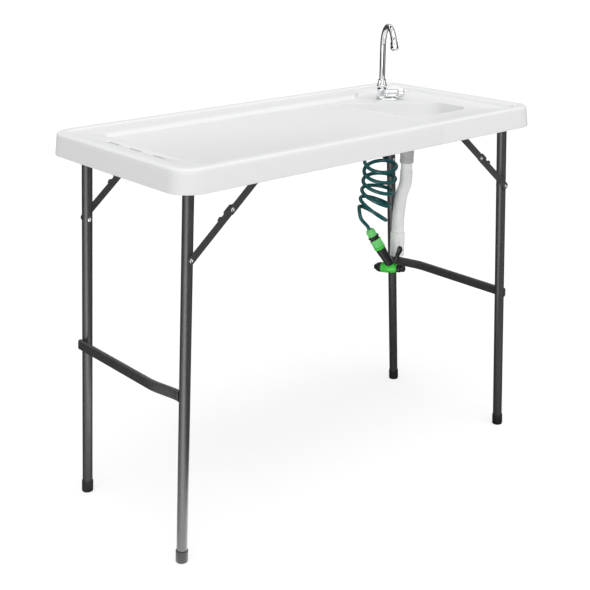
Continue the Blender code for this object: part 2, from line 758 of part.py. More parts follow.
class Brace:
    """Side brace of two links. u is the sign of the side of the table that it is on."""

    def __init__(self, side, y, end_name):
        self.side = side
        self.u = math.copysign(1.0, y)
        self.name = f"{side.name}_{end_name}"
        self.on_top = side.pivot + Vector((BRACE_ON_TOP, y, 0.0))
        self.on_leg = side.pivot + side.down() * BRACE_ON_LEG + Vector((0.0, y, 0.0))
        span = Vector((self.on_top.x - self.on_leg.x, 0.0, self.on_top.z - self.on_leg.z))
        self.long_link = (span.length + BRACE_STEP) / 2
        self.run = span.normalized()
        self.elbow = self.on_leg + self.run * self.long_link
        surface = abs(y) + LEG_RADIUS + GAP
        folded_end = BRACE_ON_LEG + self.long_link + LINK_TAIL
        self.seat = surface + SPLAY_Y * BRACE_ON_LEG / PIVOT_Z
        self.layer = surface + SPLAY_Y * folded_end / PIVOT_Z

    def point(self, base, along, across, y):
        """A world point from a place on the link; across is towards the table's corner."""
        corner = Vector((-self.run.z, 0.0, self.run.x))
        flat = Vector((base.x, 0.0, base.z)) + self.run * along + corner * across
        return Vector((flat.x, self.u * y, flat.z))

    def plate(self, name, outline, base, near, far, finish, origin):
        rings = []
        for y in (near, far):
            rings.append([self.point(base, a, c, y) for a, c in outline])
        return side_loft(self.side, name, rings, finish, origin)

    def rivet(self, name, base, start, height):
        """A domed rivet head that stands off a link's face."""
        rings = []
        for y, radius in ((start, RIVET_RADIUS), (start + height * 0.5, RIVET_RADIUS),
                          (start + height, RIVET_RADIUS * 0.55)):
            ring = []
            for k in range(12):
                angle = math.tau * k / 12
                ring.append(self.point(base, radius * math.cos(angle), radius * math.sin(angle), y))
            rings.append(self.side.place(ring))
        return loft(name, rings, None)


def link_outline(length, tail, stops):
    """Flat bar with round ends; stops are bumps on its corner side, as (start, end) along it."""
    half = LINK_WIDTH / 2
    outline = []
    for k in range(7):
        angle = math.pi / 2 + math.pi * k / 6
        outline.append((half * math.cos(angle) * 0.9, half * math.sin(angle)))
    far = length + tail - half * 0.6
    for k in range(5):
        angle = -math.pi / 2 + math.pi * k / 4
        outline.append((far + half * 0.6 * math.cos(angle), half * math.sin(angle)))
    for start, end in reversed(stops):
        outline += [(end, half), (end - 0.003, half + STOP_DEPTH),
                    (start + 0.003, half + STOP_DEPTH), (start, half)]
    return outline


def make_brace(brace):
    t = LINK_THICKNESS
    layer = brace.layer
    lower = link_outline(brace.long_link, LINK_TAIL,
                         [(brace.long_link - 0.043, brace.long_link - 0.029),
                          (brace.long_link - 0.022, brace.long_link + 0.006)])
    obj = brace.plate(f"brace_lower_{brace.name}", lower, brace.on_leg, layer, layer + t, STEEL,
                      Vector((brace.on_leg.x, brace.u * layer, brace.on_leg.z)))
    head = brace.rivet(f"add_rivet_leg_{brace.name}", brace.on_leg, brace.seat,
                       layer + t + RIVET_HEIGHT - brace.seat)
    boolean(obj, head, "UNION")
    second = layer + t + GAP
    short = brace.long_link - BRACE_STEP
    upper = [(-a, -c) for a, c in link_outline(short, LINK_TAIL, [])]
    obj = brace.plate(f"brace_upper_{brace.name}", upper, brace.on_top, second, second + t, STEEL,
                      Vector((brace.on_top.x, brace.u * second, brace.on_top.z)))
    head = brace.rivet(f"add_rivet_elbow_{brace.name}", brace.elbow, second + t * 0.5, RIVET_HEIGHT + t * 0.5)
    boolean(obj, head, "UNION")
    make_brace_bracket(brace, second + t + GAP)


def make_brace_bracket(brace, ear_y):
    """An angle screwed to the underside, whose ear carries the upper link on its outer side."""
    t = LINK_THICKNESS
    x = brace.on_top.x
    top = ceiling() - GAP
    half = EAR_WIDTH / 2
    low = PIVOT_Z - 0.010
    section = [(ear_y + t, low), (ear_y + t, top), (ear_y + t - EAR_FOOT, top),
               (ear_y + t - EAR_FOOT, top - t), (ear_y, top - t), (ear_y, low)]
    rings = []
    for end in (x - half, x + half):
        rings.append([Vector((end, brace.u * y, z)) for y, z in section])
    obj = side_loft(brace.side, f"brace_bracket_{brace.name}", rings, STEEL, brace.on_top)
    head = brace.rivet(f"add_rivet_top_{brace.name}", brace.on_top, ear_y + t * 0.5, RIVET_HEIGHT + t * 0.5)
    boolean(obj, head, "UNION")


def make_leg_frames():
    for name, turned_round in (("left", False), ("right", True)):
        side = LegSide(name, turned_round)
        ends = [(-LEG_NEAR_Y, "front"), (LEG_FAR_Y, "back")]
        if turned_round:
            ends = [(-LEG_NEAR_Y, "back"), (LEG_FAR_Y, "front")]
        make_pivot_tube(side)
        make_crossbar(side)
        for y, end_name in ends:
            make_leg(side, y, end_name)
            make_saddle(side, math.copysign(SADDLE_Y, y), end_name)
            make_brace(Brace(side, y, end_name))


def tap_axis():
    return Vector((math.cos(TAP_TURN), math.sin(TAP_TURN), 0.0))


def make_tap():
    deck = work_level() + GAP
    foot = Vector((TAP_X, TAP_Y, deck))
    along = tap_axis()
    across = Vector((-along.y, along.x, 0.0))
    outline = []
    for centre, first in ((0.0, math.pi / 2), (BASE_REACH, -math.pi / 2)):
        for k in range(9):
            angle = first + math.pi * k / 8
            flat = along * (centre + BASE_HALF_WIDTH * math.cos(angle))
            flat += across * (BASE_HALF_WIDTH * math.sin(angle))
            outline.append(flat)
    middle = along * (BASE_REACH / 2)
    rings = []
    for height, shrink in ((0.0, 1.0), (BASE_THICKNESS * 0.6, 1.0), (BASE_THICKNESS, 0.93)):
        ring = [foot + middle + (p - middle) * shrink + Vector((0.0, 0.0, height)) for p in outline]
        rings.append(ring)
    base = loft("tap_base", rings, CHROME, foot)
    hole = [(SHANK_RADIUS + GAP, -0.002), (SHANK_RADIUS + GAP, BASE_THICKNESS + 0.002)]
    turned_cutter("cut_base_hole", base, hole, foot)
    make_tap_body(foot + Vector((0.0, 0.0, BASE_THICKNESS + GAP)), along)
    make_spout(foot + Vector((0.0, 0.0, BASE_THICKNESS + GAP + BODY_HEIGHT)))
    make_supply(foot)


def make_tap_body(foot, along):
    """The upright body with its shank, and the valve barrel that leaves it sideways."""
    h = BODY_HEIGHT
    shank = -(BASE_THICKNESS + GAP + SHANK_LENGTH)
    profile = [(SHANK_RADIUS, shank), (SHANK_RADIUS, 0.0), (BODY_RADIUS + 0.001, 0.0),
               (BODY_RADIUS + 0.001, 0.003), (BODY_RADIUS, 0.005), (BODY_RADIUS, h - 0.004),
               (BODY_RADIUS - 0.001, h)]
    body = turned("tap_body", profile, CHROME, foot)
    centre = foot + Vector((0.0, 0.0, VALVE_HEIGHT))
    reach = BODY_RADIUS + VALVE_LENGTH
    barrel = turned("add_valve_barrel", [(VALVE_RADIUS, 0.0), (VALVE_RADIUS, reach - 0.001),
                                         (VALVE_RADIUS - 0.001, reach)], None, centre, along)
    boolean(body, barrel, "UNION")
    turned_cutter("cut_spindle_bore", body, [(SPINDLE_RADIUS + RUNNING, reach - 0.012),
                                             (SPINDLE_RADIUS + RUNNING, reach + 0.004)],
                  centre, along)
    turned_cutter("cut_shank_bore", body, [(SHANK_BORE, shank - 0.004), (SHANK_BORE, h + 0.004)], foot)
    spindle = [(SPINDLE_RADIUS, reach - 0.011), (SPINDLE_RADIUS, reach + 0.010)]
    turned("tap_spindle", spindle, BRASS, centre, along, origin=centre)
    start = reach + RUNNING
    knob = [(KNOB_RADIUS - 0.003, start), (KNOB_RADIUS, start + 0.002),
            (KNOB_RADIUS, start + KNOB_LENGTH - 0.003), (KNOB_RADIUS - 0.003, start + KNOB_LENGTH)]
    handle = turned("tap_knob", knob, CHROME, centre, along, origin=centre)
    turned_cutter("cut_knob_socket", handle, [(SPINDLE_RADIUS + GAP, start - 0.002),
                                              (SPINDLE_RADIUS + GAP, reach + 0.0104)], centre, along)


def make_spout(foot):
    """The swivel collar, the bent tube and the aerator at its end."""
    collar = [(SPOUT_RADIUS + GAP, GAP), (COLLAR_RADIUS - 0.001, GAP), (COLLAR_RADIUS, 0.002),
              (COLLAR_RADIUS, COLLAR_HEIGHT * 0.45), (SPOUT_RADIUS + 0.0035, COLLAR_HEIGHT * 0.62),
              (SPOUT_RADIUS + 0.0022, COLLAR_HEIGHT), (SPOUT_RADIUS + GAP, COLLAR_HEIGHT)]
    turned("spout_collar", collar, CHROME, foot, closed=True)
    reach = Vector((math.cos(SPOUT_TURN), math.sin(SPOUT_TURN), 0.0))
    up = Vector((0.0, 0.0, 1.0))
    stations = [(foot + up * (GAP + 0.0002), up),
                (Vector((foot.x, foot.y, SPOUT_STRAIGHT_TOP)), up)]
    centre = Vector((foot.x, foot.y, SPOUT_STRAIGHT_TOP)) + reach * ARCH_RADIUS
    for k in range(1, 15):
        angle = ARCH_SWEEP * k / 14
        point = centre - reach * ARCH_RADIUS * math.cos(angle) + up * ARCH_RADIUS * math.sin(angle)
        stations.append((point, reach * math.sin(angle) + up * math.cos(angle)))
    bend_end, bend_run = stations[-1]
    stations.append((bend_end + bend_run * SPOUT_END, bend_run))
    side = reach.cross(up)
    rings = []
    for radius, order in ((SPOUT_RADIUS, stations), (SPOUT_RADIUS - SPOUT_WALL, stations[::-1])):
        for point, direction in order:
            place = frame_at(point, direction, side)
            ring = []
            for k in range(16):
                turn = math.tau * k / 16
                ring.append(place @ Vector((radius * math.cos(turn), radius * math.sin(turn), 0.0)))
            rings.append(ring)
    loft("spout_tube", rings, CHROME, foot, closed=True, sharp=50.0)
    end, direction = stations[-1]
    r = AERATOR_RADIUS
    profile = [(SPOUT_RADIUS + GAP, -0.009), (SPOUT_RADIUS + 0.0012, -0.009), (r - 0.001, -0.006),
               (r - 0.001, 0.002), (r, 0.003), (r, AERATOR_LENGTH - 0.010),
               (r - 0.002, AERATOR_LENGTH - 0.009), (r - 0.003, AERATOR_LENGTH - 0.0095),
               (r - 0.0045, AERATOR_LENGTH - 0.011), (r - 0.0045, GAP),
               (SPOUT_RADIUS + GAP, GAP)]
    turned("spout_aerator", profile, CHROME, end, direction, origin=foot, closed=True)


def make_supply(foot):
    """Under the deck: the shank nut, the tee, the garden hose inlet and the hose coupling."""
    under = ceiling() - GAP
    nut = turned("shank_nut", [(SHANK_NUT_RADIUS, -SHANK_NUT_HEIGHT), (SHANK_NUT_RADIUS, 0.0)], BRASS,
                 (TAP_X, TAP_Y, under), segments=6)
    turned_cutter("cut_nut_bore", nut, [(SHANK_RADIUS + GAP, -SHANK_NUT_HEIGHT - 0.002),
                                        (SHANK_RADIUS + GAP, 0.002)], (TAP_X, TAP_Y, under))
    tee_top = foot.z - SHANK_LENGTH + 0.016
    tee_foot = Vector((TAP_X, TAP_Y, tee_top - TEE_HEIGHT))
    tee = turned("supply_tee", [(TEE_RADIUS - 0.002, 0.0), (TEE_RADIUS, 0.002),
                                (TEE_RADIUS, TEE_HEIGHT - 0.002), (TEE_RADIUS - 0.002, TEE_HEIGHT)],
                 BLACK, tee_foot)
    arm_centre = tee_foot + Vector((0.0, 0.0, TEE_HEIGHT * 0.42))
    arm = turned("add_tee_arm", [(0.0115, 0.0), (0.0115, TEE_ARM)], None, arm_centre, (1.0, 0.0, 0.0))
    boolean(tee, arm, "UNION")
    turned_cutter("cut_tee_socket", tee, [(SHANK_RADIUS + GAP, foot.z - SHANK_LENGTH - GAP - tee_foot.z),
                                          (SHANK_RADIUS + GAP, TEE_HEIGHT + 0.002)], tee_foot)
    turned_cutter("cut_tee_bore", tee, [(SHANK_BORE, -0.002), (SHANK_BORE, TEE_HEIGHT)], tee_foot)
    turned_cutter("cut_arm_bore", tee, [(SHANK_BORE, 0.002), (SHANK_BORE, TEE_ARM + 0.002)],
                  arm_centre, (1.0, 0.0, 0.0))
    inlet = [(SHANK_BORE + 0.001, 0.0), (INLET_RADIUS + 0.0015, 0.0), (INLET_RADIUS + 0.0015, 0.003),
             (INLET_RADIUS, 0.004), (INLET_RADIUS, INLET_LENGTH), (INLET_BORE, INLET_LENGTH),
             (INLET_BORE, 0.004)]
    start = arm_centre + Vector((TEE_ARM + GAP, 0.0, 0.0))
    turned("hose_inlet", inlet, BRASS, start, (1.0, 0.0, 0.0), closed=True)
    coupling_top = tee_foot.z - GAP
    low = coupling_top - HOSE_COUPLING_HEIGHT
    r = HOSE_COUPLING_RADIUS
    coupling = [(0.0020, 0.0), (COIL_TUBE_RADIUS + 0.003, 0.0), (r, 0.006),
                (r, HOSE_COUPLING_HEIGHT), (0.0020, HOSE_COUPLING_HEIGHT)]
    turned("hose_coupling", coupling, GREEN, (TAP_X, TAP_Y, low), closed=True, segments=16)
    make_coil_hose(Vector((TAP_X, TAP_Y, low - GAP)))


def coil_points():
    """Turns that drift sideways, tip towards the user at the top and lean more lower down."""
    total = COIL_TURNS * COIL_POINTS + COIL_EXTRA
    points = []
    for i in range(total + 1):
        t = i / total
        centre = COIL_TOP + COIL_SHIFT * t ** 2.2 - Vector((0.0, 0.0, COIL_DROP * t))
        lean = COIL_LEAN_START + COIL_LEAN * t ** 1.65
        tip = COIL_TIP + COIL_TIP_CHANGE * t
        right = VIEW_RIGHT * math.cos(lean) - Vector((0.0, 0.0, math.sin(lean)))
        away = VIEW_AWAY * math.cos(tip) + Vector((0.0, 0.0, math.sin(tip)))
        angle = COIL_START + math.tau * i / COIL_POINTS
        points.append(centre + (right * math.cos(angle) + away * math.sin(angle)) * COIL_RADIUS)
    return points


def make_coil_hose(start):
    coil = coil_points()
    first_run = (coil[0] - coil[1]).normalized()
    last_run = (coil[-1] - coil[-2]).normalized()
    lead = [start, start + Vector((0.0, 0.0, -0.012)), start + Vector((-0.010, -0.004, -0.034)),
            coil[0] + first_run * 0.045 + Vector((0.0, 0.0, 0.002)),
            coil[0] + first_run * (0.009 + GAP), coil[0] + first_run * GAP]
    route, lead_length = smooth_route(lead, 2 * COIL_TUBE_RADIUS * FREE_STEP * 0.5)
    tube_curve("hose_lead", route, COIL_TUBE_RADIUS, TEAL, 2)
    tube_curve("hose_coil", coil, COIL_TUBE_RADIUS, TEAL, 1)
    coil_length = sum((coil[i + 1] - coil[i]).length for i in range(len(coil) - 1))
    end, up = connector_top()
    tail = [coil[-1] + last_run * 0.0008, coil[-1] + last_run * 0.0055, coil[-1] + last_run * (0.009 + GAP)]
    tail += tail_points(end)
    tail += [end + up * 0.010, end]
    route, tail_length = smooth_route(tail, 2 * COIL_TUBE_RADIUS * FREE_STEP * 0.5)
    tube_curve("hose_tail", route, COIL_TUBE_RADIUS, TEAL, 2)
    print("coil hose gap", round(least_gap(coil, COIL_TUBE_RADIUS, COIL_POINTS // 2), 5))
    print("coil hose length", round(lead_length + coil_length + tail_length, 4))


def tail_points(end):
    """The stretch from the last turn round to the connector, hand placed."""
    return [end + Vector((-0.0194, 0.0197, 0.0534)), end + Vector((-0.0211, 0.0165, 0.0471)),
            end + Vector((-0.0212, 0.0140, 0.0386)), end + Vector((-0.0178, 0.0104, 0.0266))]


def gun_axes():
    """Up the handle, rearward and sideways, as the gun hangs."""
    up = VIEW_RIGHT * -math.sin(HANDLE_LEAN) + Vector((0.0, 0.0, math.cos(HANDLE_LEAN)))
    flat = VIEW_RIGHT * math.cos(HANDLE_LEAN) + Vector((0.0, 0.0, math.sin(HANDLE_LEAN)))
    back = flat * math.cos(HEAD_TURN) - VIEW_AWAY * math.sin(HEAD_TURN)
    return up, back, up.cross(back)


def gun_point(a, b, c=0.0):
    up, back, across = gun_axes()
    return GUN_ORIGIN + back * a + up * b + across * c


def connector_top():
    up = gun_axes()[0]
    height = HANDLE_TOP + ADAPTER_LENGTH + SLEEVE_LENGTH + SLEEVE_TRAVEL + CONNECTOR_RING + NUT_LENGTH
    return GUN_ORIGIN + up * (height + 6 * GAP), up


def make_gun():
    up, back, across = gun_axes()
    rear = back * math.cos(HEAD_TILT) + up * math.sin(HEAD_TILT)
    centre = GUN_ORIGIN
    head = turned("gun_head", head_profile(0.0), GREEN, centre, rear)
    front = HEAD_FRONT + GAP
    tip = front + NOZZLE_LENGTH
    nozzle = [(HEAD_RADIUS - 0.0005, -front), (HEAD_RADIUS - 0.0015, -front - NOZZLE_LENGTH * 0.45),
              (NOZZLE_TIP_RADIUS + 0.001, -tip + 0.002), (NOZZLE_TIP_RADIUS, -tip),
              (NOZZLE_TIP_RADIUS - 0.003, -tip), (NOZZLE_TIP_RADIUS - 0.0035, -tip + 0.003)]
    turned("spray_dial", nozzle, BLACK, centre, rear, origin=centre)
    r = REAR_CAP_RADIUS
    start = HEAD_BACK + GAP
    turned("gun_rear_cap", [(r, start), (r, start + REAR_CAP_LENGTH - 0.002),
                            (r - 0.001, start + REAR_CAP_LENGTH)], BLACK, centre, rear)
    start += REAR_CAP_LENGTH + RUNNING
    r = FLOW_KNOB_RADIUS
    turned("flow_knob", [(r - 0.001, start), (r, start + 0.001), (r, start + FLOW_KNOB_LENGTH - 0.003),
                         (r - 0.003, start + FLOW_KNOB_LENGTH)], BLACK, centre, rear, origin=centre)
    make_handle(head, centre, rear, up)
    make_trigger()
    make_connector(up)


def head_profile(extra):
    return [(HEAD_RADIUS - 0.001 + extra, -HEAD_FRONT - extra), (HEAD_RADIUS + extra, -HEAD_FRONT + 0.001),
            (HEAD_RADIUS + extra, 0.002), (HEAD_REAR_RADIUS + extra, HEAD_BACK - 0.002),
            (HEAD_REAR_RADIUS - 0.001 + extra, HEAD_BACK + extra)]


def make_handle(head, centre, rear, up):
    profile = [(HANDLE_LOW_RADIUS, 0.004), (HANDLE_LOW_RADIUS + 0.001, 0.022),
               (HANDLE_TOP_RADIUS - 0.001, 0.040), (HANDLE_TOP_RADIUS, HANDLE_TOP - 0.001),
               (HANDLE_TOP_RADIUS - 0.001, HANDLE_TOP)]
    handle = turned("gun_handle", profile, BLACK, GUN_ORIGIN, up)
    turned_cutter("cut_head_seat", handle, head_profile(GAP), centre, rear)


def trigger_foot(height):
    """A place over the rear of the head, at a height above its axis, as handle a and b."""
    along = HEAD_BACK - 0.0045
    a = along * math.cos(HEAD_TILT) - height * math.sin(HEAD_TILT)
    b = along * math.sin(HEAD_TILT) + height * math.cos(HEAD_TILT)
    return a, b


def make_trigger():
    """A lever from the back of the head up behind the handle, ending in a wider blade."""
    seat = HEAD_REAR_RADIUS + 0.0007
    pivot = trigger_foot(seat + 0.0028)
    line = [(*trigger_foot(seat), 0.55, 0.5, 0.6), (*pivot, 0.60, 1.0, 1.1),
            (*trigger_foot(seat + 0.008), 0.60, 1.0, 1.6), (0.0275, 0.0235, 0.65, 1.0, 2.0),
            (0.0360, 0.0340, 0.80, 1.0, 2.2), (0.0480, 0.0455, 1.20, 1.0, 2.8),
            (0.0545, 0.0535, 1.05, 0.8, 1.8)]
    rings = []
    for i, (a, b, wide, inner, outer) in enumerate(line):
        before = line[max(i - 1, 0)]
        after = line[min(i + 1, len(line) - 1)]
        run = Vector((after[0] - before[0], after[1] - before[1])).normalized()
        half = TRIGGER_WIDTH / 2 * wide
        ring = []
        for side, face in ((-1, -inner), (1, -inner), (1, 2 * outer), (-1, 2 * outer)):
            depth = TRIGGER_THICKNESS / 2 * face
            ring.append(gun_point(a + run.y * depth, b - run.x * depth, half * side))
        rings.append(ring)
    loft("gun_trigger", rings, BLACK, gun_point(*pivot))
    print("trigger pivot", [round(v, 5) for v in gun_point(*pivot)])


def make_connector(up):
    """From the handle up: adapter, sliding release sleeve, connector body and hose nut."""
    base = GUN_ORIGIN + up * (HANDLE_TOP + GAP)
    core_top = ADAPTER_LENGTH + SLEEVE_LENGTH * 0.55
    adapter = [(ADAPTER_RADIUS - 0.001, 0.0), (ADAPTER_RADIUS, 0.001),
               (ADAPTER_RADIUS, ADAPTER_LENGTH - 0.001), (ADAPTER_RADIUS - 0.001, ADAPTER_LENGTH),
               (SPIGOT_RADIUS, ADAPTER_LENGTH), (SPIGOT_RADIUS, core_top)]
    turned("gun_adapter", adapter, GREEN, base, up)
    low = ADAPTER_LENGTH + GAP
    bore = CONNECTOR_RADIUS + RUNNING
    sleeve = [(bore, low), (SLEEVE_RADIUS - 0.001, low), (SLEEVE_RADIUS, low + 0.0015),
              (SLEEVE_RADIUS - 0.0004, low + SLEEVE_LENGTH - 0.0015),
              (SLEEVE_RADIUS - 0.0015, low + SLEEVE_LENGTH), (bore, low + SLEEVE_LENGTH)]
    turned("release_sleeve", sleeve, GREEN, base, up, closed=True)
    core = low + GAP
    ring_low = low + SLEEVE_LENGTH + SLEEVE_TRAVEL + GAP
    ring_top = ring_low + CONNECTOR_RING
    nipple = ring_top + NUT_LENGTH * 0.5
    body = [(SPIGOT_RADIUS + GAP, core), (CONNECTOR_RADIUS, core), (CONNECTOR_RADIUS, ring_low),
            (CONNECTOR_RING_RADIUS, ring_low + 0.0005), (CONNECTOR_RING_RADIUS, ring_top - 0.0005),
            (CONNECTOR_RADIUS - 0.003, ring_top), (CONNECTOR_RADIUS - 0.003, nipple),
            (0.0022, nipple), (0.0022, core_top + GAP), (SPIGOT_RADIUS + GAP, core_top + GAP)]
    turned("connector_body", body, BLACK, base, up, closed=True)
    nut_low = ring_top + GAP
    top = nut_low + NUT_LENGTH
    bore = CONNECTOR_RADIUS - 0.003 + GAP
    nut = [(bore, nut_low), (NUT_RADIUS, nut_low), (NUT_RADIUS + 0.0004, nut_low + NUT_LENGTH * 0.7),
           (NUT_RADIUS - 0.004, top), (0.0022, top), (0.0022, nipple + GAP), (bore, nipple + GAP)]
    turned("connector_nut", nut, GREEN, base, up, closed=True)


clear_scene()
make_tabletop()
make_drain()
make_leg_frames()
make_tap()
make_gun()
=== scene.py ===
# Looks of the folding camping table with sink: every visible piece as a fine surface, its finish,
# the free hose at its real length, a pale studio and the camera. Metres, +Z up, origin on the floor.
import json
import math

import bmesh
import bpy
import numpy as np
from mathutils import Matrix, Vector, geometry


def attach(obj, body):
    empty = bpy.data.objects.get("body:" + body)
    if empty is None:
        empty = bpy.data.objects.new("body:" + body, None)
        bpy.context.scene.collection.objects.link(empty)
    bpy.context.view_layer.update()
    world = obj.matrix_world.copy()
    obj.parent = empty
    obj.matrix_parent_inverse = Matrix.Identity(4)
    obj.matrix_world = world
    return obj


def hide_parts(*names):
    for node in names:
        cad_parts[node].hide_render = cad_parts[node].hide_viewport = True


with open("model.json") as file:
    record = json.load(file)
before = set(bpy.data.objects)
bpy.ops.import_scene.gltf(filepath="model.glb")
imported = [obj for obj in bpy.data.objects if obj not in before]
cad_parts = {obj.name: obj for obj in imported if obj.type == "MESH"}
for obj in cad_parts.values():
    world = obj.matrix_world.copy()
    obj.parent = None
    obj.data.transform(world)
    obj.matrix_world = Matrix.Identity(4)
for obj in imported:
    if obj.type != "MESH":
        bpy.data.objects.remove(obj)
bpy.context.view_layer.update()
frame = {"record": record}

record = frame["record"]
bodyOfNode = {node: body for body, nodes in record["behaviour"]["bodies"].items() for node in nodes}
slotOfNode = {row["node"]: row["material_slot"] for row in record["subparts"]}
up = np.array((0.0, 0.0, 1.0))


# Camera of the photograph
cameraPlan = {"place": (-1.736, -1.9493, 1.4332), "yaw": 0.8537, "pitchDown": 0.353,
              "focalPixels": 1060.51, "framePixels": 590, "sensor": 36.0, "nearest": 0.05}


def addCamera():
    # it looks along its yaw and pitch, with the focal length scaled from pixels to the sensor
    plan = cameraPlan
    data = bpy.data.cameras.new("photoCamera")
    data.sensor_width = plan["sensor"]
    data.lens = plan["focalPixels"] / plan["framePixels"] * plan["sensor"]
    data.clip_start = plan["nearest"]
    camera = bpy.data.objects.new("photoCamera", data)
    ahead = Vector((math.cos(plan["pitchDown"]) * math.cos(plan["yaw"]),
                    math.cos(plan["pitchDown"]) * math.sin(plan["yaw"]), -math.sin(plan["pitchDown"])))
    camera.location = plan["place"]
    camera.rotation_euler = ahead.to_track_quat("-Z", "Y").to_euler()
    bpy.context.scene.collection.objects.link(camera)
    bpy.context.scene.camera = camera


addCamera()
print("camera placed")


# Shader maths: a wrapped socket that adds its nodes as it is reckoned with
class Value:
    def __init__(self, graph, socket):
        self.graph = graph
        self.socket = socket

    def reckon(self, operation, first, second):
        # one Math node on two values or numbers
        return self.graph.add("ShaderNodeMath", {"operation": operation}, {0: first, 1: second})

    def __add__(self, other):
        return self.reckon("ADD", self, other)

    def __sub__(self, other):
        return self.reckon("SUBTRACT", self, other)

    def __rsub__(self, other):
        return self.reckon("SUBTRACT", other, self)

    def __mul__(self, other):
        return self.reckon("MULTIPLY", self, other)

    __radd__ = __add__
    __rmul__ = __mul__


class Graph:
    # a node tree whose nodes are added one by one, each as the value of one of its outputs
    def __init__(self, tree):
        self.tree = tree

    def add(self, kind, settings, sockets, output=0):
        node = self.tree.nodes.new(kind)
        for key, value in settings.items():
            setattr(node, key, value)
        for key, value in sockets.items():
            if isinstance(value, Value):
                self.tree.links.new(value.socket, node.inputs[key])
            else:
                node.inputs[key].default_value = value
        return Value(self, node.outputs[output]) if len(node.outputs) else None

    def place(self, coordinates="Object"):
        return self.add("ShaderNodeTexCoord", {}, {}, coordinates)

    def axes(self, coordinates="Object"):
        where = self.place(coordinates)
        return [self.add("ShaderNodeSeparateXYZ", {}, {"Vector": where}, k) for k in range(3)]

    def noise(self, scale, detail=2.0):
        sockets = {"Vector": self.place(), "Scale": scale, "Detail": detail, "Roughness": 0.5}
        return self.add("ShaderNodeTexNoise", {}, sockets, "Fac")

    def cells(self, scale, feature="F1"):
        sockets = {"Vector": self.place(), "Scale": scale}
        return self.add("ShaderNodeTexVoronoi", {"feature": feature}, sockets, "Distance")

    def blend(self, factor, first, second):
        # the two colours of a Mix node are its sockets 6 and 7, and the mixed one its output 2
        first, second = [(*c, 1.0) if isinstance(c, tuple) else c for c in (first, second)]
        return self.add("ShaderNodeMix", {"data_type": "RGBA"}, {0: factor, 6: first, 7: second}, 2)

    def steps(self, value, low, high):
        # 0 at low, 1 at high and straight between them, also where low is the greater
        return self.add("ShaderNodeMapRange", {"clamp": True},
                        {"Value": value, "From Min": low, "From Max": high, "To Min": 0.0, "To Max": 1.0})

    def bump(self, height, depth, strength):
        return self.add("ShaderNodeBump", {}, {"Height": height, "Distance": depth, "Strength": strength})


class Finish(Graph):
    # a material; fixed values and links both go to its shader's own sockets
    socketNames = {"colour": "Base Color", "rough": "Roughness", "metal": "Metallic", "coat": "Coat Weight",
                   "ior": "IOR", "normal": "Normal"}

    def __init__(self, name, **fixed):
        self.material = bpy.data.materials.new(name)
        self.material.use_nodes = True
        super().__init__(self.material.node_tree)
        for socket, value in fixed.items():
            self.set(socket, value)

    def set(self, socket, value):
        target = self.tree.nodes["Principled BSDF"].inputs[self.socketNames[socket]]
        if isinstance(value, Value):
            self.tree.links.new(value.socket, target)
        else:
            target.default_value = value


# "pebbleEnd" is the x up to which the work area is pebbled; "slot" is the slots' span in x and y; the 0.30
# grey is painted shade on the slots' walls, fading in between the first two of the last three heights over
# the work area, down to the third
tableLook = {"colour": (0.840, 0.842, 0.846), "dim": (0.805, 0.807, 0.812), "slotShade": (0.30, 0.30, 0.30),
             "rough": 0.42, "pebbles": 620.0, "grain": 1500.0, "waves": 230.0, "mottle": 9.0,
             "depth": 0.00035, "pebbleEnd": 0.2065, "slot": (-0.5184, -0.5116, -0.140, 0.090),
             "slotShadeFrom": 0.0065, "slotShadeTo": 0.0025, "slotShadeEnd": -0.024}


def tablePlastic(workLevel):
    # pebbled on the low work area, satin and faintly mottled elsewhere, with painted shade in the knife slots
    look = tableLook
    made = Finish("tablePlastic", ior=1.5)
    x, y, z = made.axes()
    low = made.steps(z, workLevel + 0.0012, workLevel + 0.0002)
    pebbled = low * made.steps(x, look["pebbleEnd"], look["pebbleEnd"] - 0.004)
    pebbles = made.cells(look["pebbles"], "SMOOTH_F1")
    grain = made.noise(look["grain"])
    mottle = made.steps(made.noise(look["mottle"], 3.0), 0.35, 0.75)
    skin = made.blend(pebbled * 0.75 + mottle * 0.10, look["colour"], look["dim"])
    # painted shade: the narrow slots darken with depth
    near, far, first, last = look["slot"]
    across = made.steps(x, near - 0.0008, near) * made.steps(x, far + 0.0008, far)
    along = made.steps(y, first - 0.002, first) * made.steps(y, last + 0.002, last)
    slotShadeDepth = (made.steps(z, workLevel + look["slotShadeFrom"], workLevel + look["slotShadeTo"])
            * made.steps(z, workLevel + look["slotShadeEnd"] - 0.002, workLevel + look["slotShadeEnd"]))
    made.set("colour", made.blend(across * along * slotShadeDepth, skin, look["slotShade"]))
    made.set("rough", look["rough"] + pebbled * 0.10 + grain * 0.04)
    height = pebbles * pebbled * 0.7 + grain * 0.12 + made.noise(look["waves"], 3.0) * 0.10
    made.set("normal", made.bump(height, look["depth"], 0.55))
    return made.material


def plainPlastic(name, colour, rough, grain=900.0, depth=0.00010, spread=0.06, coat=0.0):
    # moulded plastic: a fine skin texture and slight colour drift
    made = Finish(name, ior=1.5, coat=coat)
    drift = made.noise(60.0, 3.0)
    darker = tuple(c * (1.0 - spread) for c in colour)
    made.set("colour", made.blend(made.steps(drift, 0.3, 0.7), colour, darker))
    skin = made.noise(grain)
    made.set("rough", rough + skin * 0.08)
    made.set("normal", made.bump(skin, depth, 0.6))
    return made.material


coatLook = {"colour": (0.032, 0.032, 0.033), "dark": (0.015, 0.015, 0.016), "fleck": (0.120, 0.120, 0.123),
            "cells": 900.0, "grain": 1500.0, "metal": 0.20, "rough": 0.33, "depth": 0.00016}


